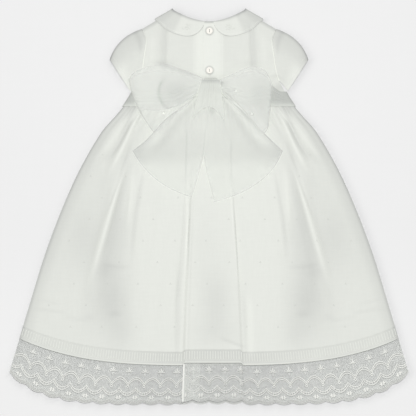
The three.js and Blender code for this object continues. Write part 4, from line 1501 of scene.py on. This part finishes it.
class GOWN_OT_bow(bpy.types.Operator):
    """Make the bow: two loops, two tails and the knot"""

    bl_idname = "gown.bow"
    bl_label = "Bow"

    def execute(self, context):
        self.loop("left", LOOP_LEFT, 0.0102, (0.26, 0.062))
        self.loop("right", LOOP_RIGHT, 0.0092, (0.2, 0.066))
        self.tail("left", TAIL_LEFT, 0.0098)
        self.tail("right", TAIL_RIGHT, 0.0115)
        self.knot()
        return {"FINISHED"}

    def loop(self, name, rows, area, flat):
        """One loop of sheer ribbon, with its sprigs and its rolled lower edge."""
        t, v = sweep(even(130), even(40))
        loop = loop_surface(rows, t, v)
        x, y = loop[..., 0], loop[..., 1]
        # Painted shade of a loop: a little lighter all over, darker in spots and along the creases of its
        # upper layer
        over = smooth(0.5, 0.6, t)
        creased = over * creases(LOOP_CREASES, x, y, "shade")
        shade = LOOP_SHADE + painted_shade_spots(LOOP_SHADE_SPOTS, x, y) + creased
        making = Making().add(shell(loop, SHEER), organza_finish(), shade)
        top = making.tree()
        edges = Making()
        selvage = loop_surface(rows, even(130)[3:-3], np.ones(125))
        edges.add(tube(selvage, sizes().rolled_edge / MM, 6), selvage_finish())
        for x, y in [spot for spot in BOW_SPRIGS if (spot[0] > 0) == (name == "right")]:
            hit = top.ray_cast(Vector((x, y, 100)), Vector((0, 0, -1)))[0]
            if hit is None:
                raise RuntimeError(f"the sprig at {x}, {y} is off the bow loop")
            sprig(making, (x, y, hit.z + 0.1), thread_finish())
        node = f"bow_loop_{name}"
        made = making.piece(node, "organza", node, sheer=True)
        rolled = edges.piece(f"bow_loop_edges_{name}", "organza", sheer=True)

    def tail(self, name, rows, area):
        """One tail of sheer ribbon, with the rolled edge round its slanted end and up its inner side."""
        t, v = sweep(even(80), even(70))
        tail = tail_surface(rows, t, v)
        making = Making().add(shell(tail, SHEER), organza_finish(), tail_shade(tail, t, v))
        rim_t = np.concatenate((np.linspace(0.62, 1, 23), np.full(60, 1.0), even(60)[:3:-1]))
        rim_v = np.concatenate((np.zeros(23), even(61)[1:-1], np.ones(57)))
        rim = tube(tail_surface(rows, rim_t, rim_v), sizes().rolled_edge / MM, 6)
        edges = Making().add(rim, selvage_finish())
        rolled = edges.piece(f"bow_tail_edges_{name}", "organza", sheer=True)
        node = f"bow_tail_{name}"
        made = making.piece(node, "organza", node, sheer=True)

    def knot(self):
        """The band round the middle of the bow, and the ribbon that falls over it."""
        t, v = sweep(even(40), even(90))
        band = shell(knot_surface(t, v), KNOT_WALL)
        # Painted shade on the knot, and on the ribbon falling over it, darkest at its top under the knot
        knot = Making().add(band, gathered_organza_finish(), KNOT_SHADE)
        made = knot.piece("bow_knot", "organza", "bow_knot")
        painted_shade = FALL_SHADE
        shade = painted_shade["cloth"] + painted_shade["middle"] * smooth(0.25, 0.55, v) + painted_shade["foot"] * smooth(0.7, 1, v)
        shade = shade + painted_shade["top"] * (1 - smooth(0, 0.2, v))
        fall = Making().add(shell(knot_fall(t, v), SHEER), gathered_organza_finish(), shade)
        made = fall.piece("bow_knot_fall", "organza", sheer=True)


class GOWN_OT_buttons(bpy.types.Operator):
    """Make the two sewn-on buttons"""

    bl_idname = "gown.buttons"
    bl_label = "Buttons"

    # Radius and height along the button's outline, from the middle below to the middle on top
    PROFILE = (
        (0.2, 0), (4.4, 0), (4.85, 0.35), (5, 0.9), (4.9, 1.5), (4.55, 1.9),
        (4.1, 1.95), (3.6, 1.7), (3.1, 1.45), (1.6, 1.4), (0.2, 1.4),
    )

    def execute(self, context):
        for number, y in enumerate(BUTTON_ROWS, 1):
            node = f"button_{number}"
            base = float(bodice_rest(0, y)) + LAP_RISE + LAWN + SEAM + 0.4
            places, faces = turned(self.PROFILE, 48)
            button = Making().add((places + (BUTTON_X, y, base), faces), pearl_finish())
            made = button.piece(node, "button", node)
            self.bore(made, y, base)
            thread = Making()
            for lean in (-0.22, 0.22):
                path = points(BUTTON_X + lean, y + np.linspace(-1.9, 1.9, 9), base)
                path[:, 2] += 1.75 - 1.5 * np.abs(np.linspace(-1, 1, 9)) ** 4
                # The thread is painted dark, standing in for the shadow in the holes under it
                thread.add(tube(path, 0.2, 6), thread_finish(), BUTTON_THREAD_SHADE)
            thread.piece(f"button_thread_{number}", "button")
        return {"FINISHED"}

    def bore(self, made, y, base):
        """Drills the two holes, one above the other."""
        drill = Making()
        for out in (-BUTTON_HOLE_OUT, BUTTON_HOLE_OUT):
            places, faces = turned(((BUTTON_HOLE, -1), (BUTTON_HOLE, 3)), 20)
            drill.add((places + (BUTTON_X, y + out, base), faces), pearl_finish())
        cutter = drill.piece("button_drill", "button")
        holes = made.modifiers.new("holes", "BOOLEAN")
        holes.object = cutter
        holes.operation = "DIFFERENCE"
        bored = bpy.data.meshes.new_from_object(made.evaluated_get(bpy.context.evaluated_depsgraph_get()))
        made.modifiers.clear()
        made.data = bored
        bored.set_sharp_from_angle(angle=math.radians(40))
        bpy.data.objects.remove(cutter)


def gown_outline():
    """Places along the gown's edge in plan, a few millimetres apart."""
    drop = np.linspace(0, LACE_DROP - 2, 240)
    u = sides(480)
    b = even(40)
    lines = [points(*skirt_plan(u, scallop_foot(u)), 0)]
    for side in (-1, 1):
        lines.append(points(*skirt_plan(np.full(240, side), drop), 0))
        lines.append(sleeve_surface(side, b, np.zeros(41)))
        lines.append(sleeve_surface(side, np.ones(41), b))
        lines.append(collar_surface(side, np.ones(41), b))
        lines.append(collar_surface(side, b, np.zeros(41)))
    return np.concatenate(lines) * (1, 1, 0)


class GOWN_OT_stage(bpy.types.Operator):
    """Make the floor, the light and the camera"""

    bl_idname = "gown.stage"
    bl_label = "Stage"

    def execute(self, context):
        scene = context.scene
        scene.view_settings.view_transform = "Standard"
        self.floor(scene)
        scene.world = bpy.data.worlds.new("studio")
        scene.world.use_nodes = True
        sky = scene.world.node_tree.nodes["Background"]
        sky.inputs["Color"].default_value = (1, 1, 1, 1)
        sky.inputs["Strength"].default_value = WORLD_LIGHT
        lamp = bpy.data.lights.new("softbox", "AREA")
        lamp.shape = "DISK"
        lamp.size = SOFTBOX["size"]
        lamp.energy = SOFTBOX["power"]
        softbox = bpy.data.objects.new("softbox", lamp)
        softbox.location = (0, SOFTBOX["y"], SOFTBOX["z"])
        softbox.rotation_euler = (-math.atan2(SOFTBOX["y"], SOFTBOX["z"]), 0, 0)
        scene.collection.objects.link(softbox)
        height = sizes().camera_height
        eye = bpy.data.cameras.new("camera")
        eye.sensor_width = SENSOR
        eye.lens = SENSOR * height / (FRAME_WIDTH * MM)
        camera = bpy.data.objects.new("camera", eye)
        camera.location = (FRAME_CENTRE[0] * MM, FRAME_CENTRE[1] * MM, height)
        scene.collection.objects.link(camera)
        scene.camera = camera
        return {"FINISHED"}

    def floor(self, scene):
        """Sheet of paper, with a painted shadow right beside the gown."""
        fine = np.linspace(-FLOOR_FINE_HALF, FLOOR_FINE_HALF, FLOOR_FINE_STEPS)
        steps = np.concatenate(((-FLOOR_HALF,), fine, (FLOOR_HALF,)))
        x, y = sweep(steps, steps)
        outline = gown_outline()
        edge = KDTree(len(outline))
        for k, place in enumerate(outline):
            edge.insert(place, k)
        edge.balance()
        shade = [self.beside(edge, Vector(place)) for place in points(x, y, 0).reshape(-1, 3)]
        count = len(steps)
        at = np.arange(count * count).reshape(count, count)
        faces = grid_faces(at)
        mesh = bpy.data.meshes.new("floor")
        mesh.from_pydata((points(x, y, FLOOR_Z).reshape(-1, 3) * MM).tolist(), [], faces.tolist())
        mesh.materials.append(floor_finish())
        # The painted shadow goes into the hollow attribute that the paper's material reads
        mesh.attributes.new("hollow", "FLOAT", "POINT").data.foreach_set("value", shade)
        made = bpy.data.objects.new("floor", mesh)
        scene.collection.objects.link(made)

    def beside(self, edge, place):
        """Painted shade of the paper at a place: a painted shadow, most below the gown and to its right, away
        from the light, and painted light towards the foot.
        """
        near, _, away = edge.find(place)
        lee = (place - near).normalized().dot(Vector((0.7, -0.7, 0)))
        painted_shade = FLOOR_SHADE
        painted_light_at_foot = painted_shade["foot"] * smooth(-20, -240, place.y)
        painted_shadow_near_gown = (painted_shade["beside"] + painted_shade["lee"] * smooth(-0.5, 0.6, lee)) * bell(away / painted_shade["reach"])
        return float(painted_shadow_near_gown + painted_light_at_foot)


OPERATORS = (
    GOWN_OT_bodice,
    GOWN_OT_sleeves,
    GOWN_OT_collar,
    GOWN_OT_skirt,
    GOWN_OT_lace,
    GOWN_OT_sash,
    GOWN_OT_bow,
    GOWN_OT_buttons,
    GOWN_OT_stage,
)


class GOWN_PT_panel(bpy.types.Panel):
    """Sizes, colours and pieces of the gown"""

    bl_label = "Christening gown"
    bl_idname = "GOWN_PT_panel"
    bl_space_type = "VIEW_3D"
    bl_region_type = "UI"
    bl_category = "Gown"

    def draw(self, context):
        for group in (sizes(), colours()):
            box = self.layout.box()
            for name in group.__annotations__:
                box.prop(group, name)
        for operator in OPERATORS:
            self.layout.operator(operator.bl_idname)


CLASSES = (GownSizes, GownColours, *OPERATORS, GOWN_PT_panel)


def register():
    for item in CLASSES:
        bpy.utils.register_class(item)
    bpy.types.Scene.gown_sizes = PointerProperty(type=GownSizes)
    bpy.types.Scene.gown_colours = PointerProperty(type=GownColours)


def unregister():
    del bpy.types.Scene.gown_colours
    del bpy.types.Scene.gown_sizes
    for item in reversed(CLASSES):
        bpy.utils.unregister_class(item)


def main():
    register()
    bpy.ops.gown.bodice()
    bpy.ops.gown.sleeves()
    bpy.ops.gown.collar()
    bpy.ops.gown.skirt()
    bpy.ops.gown.lace()
    bpy.ops.gown.sash()
    bpy.ops.gown.bow()
    bpy.ops.gown.buttons()
    bpy.ops.gown.stage()


if __name__ == "__main__":
    main()
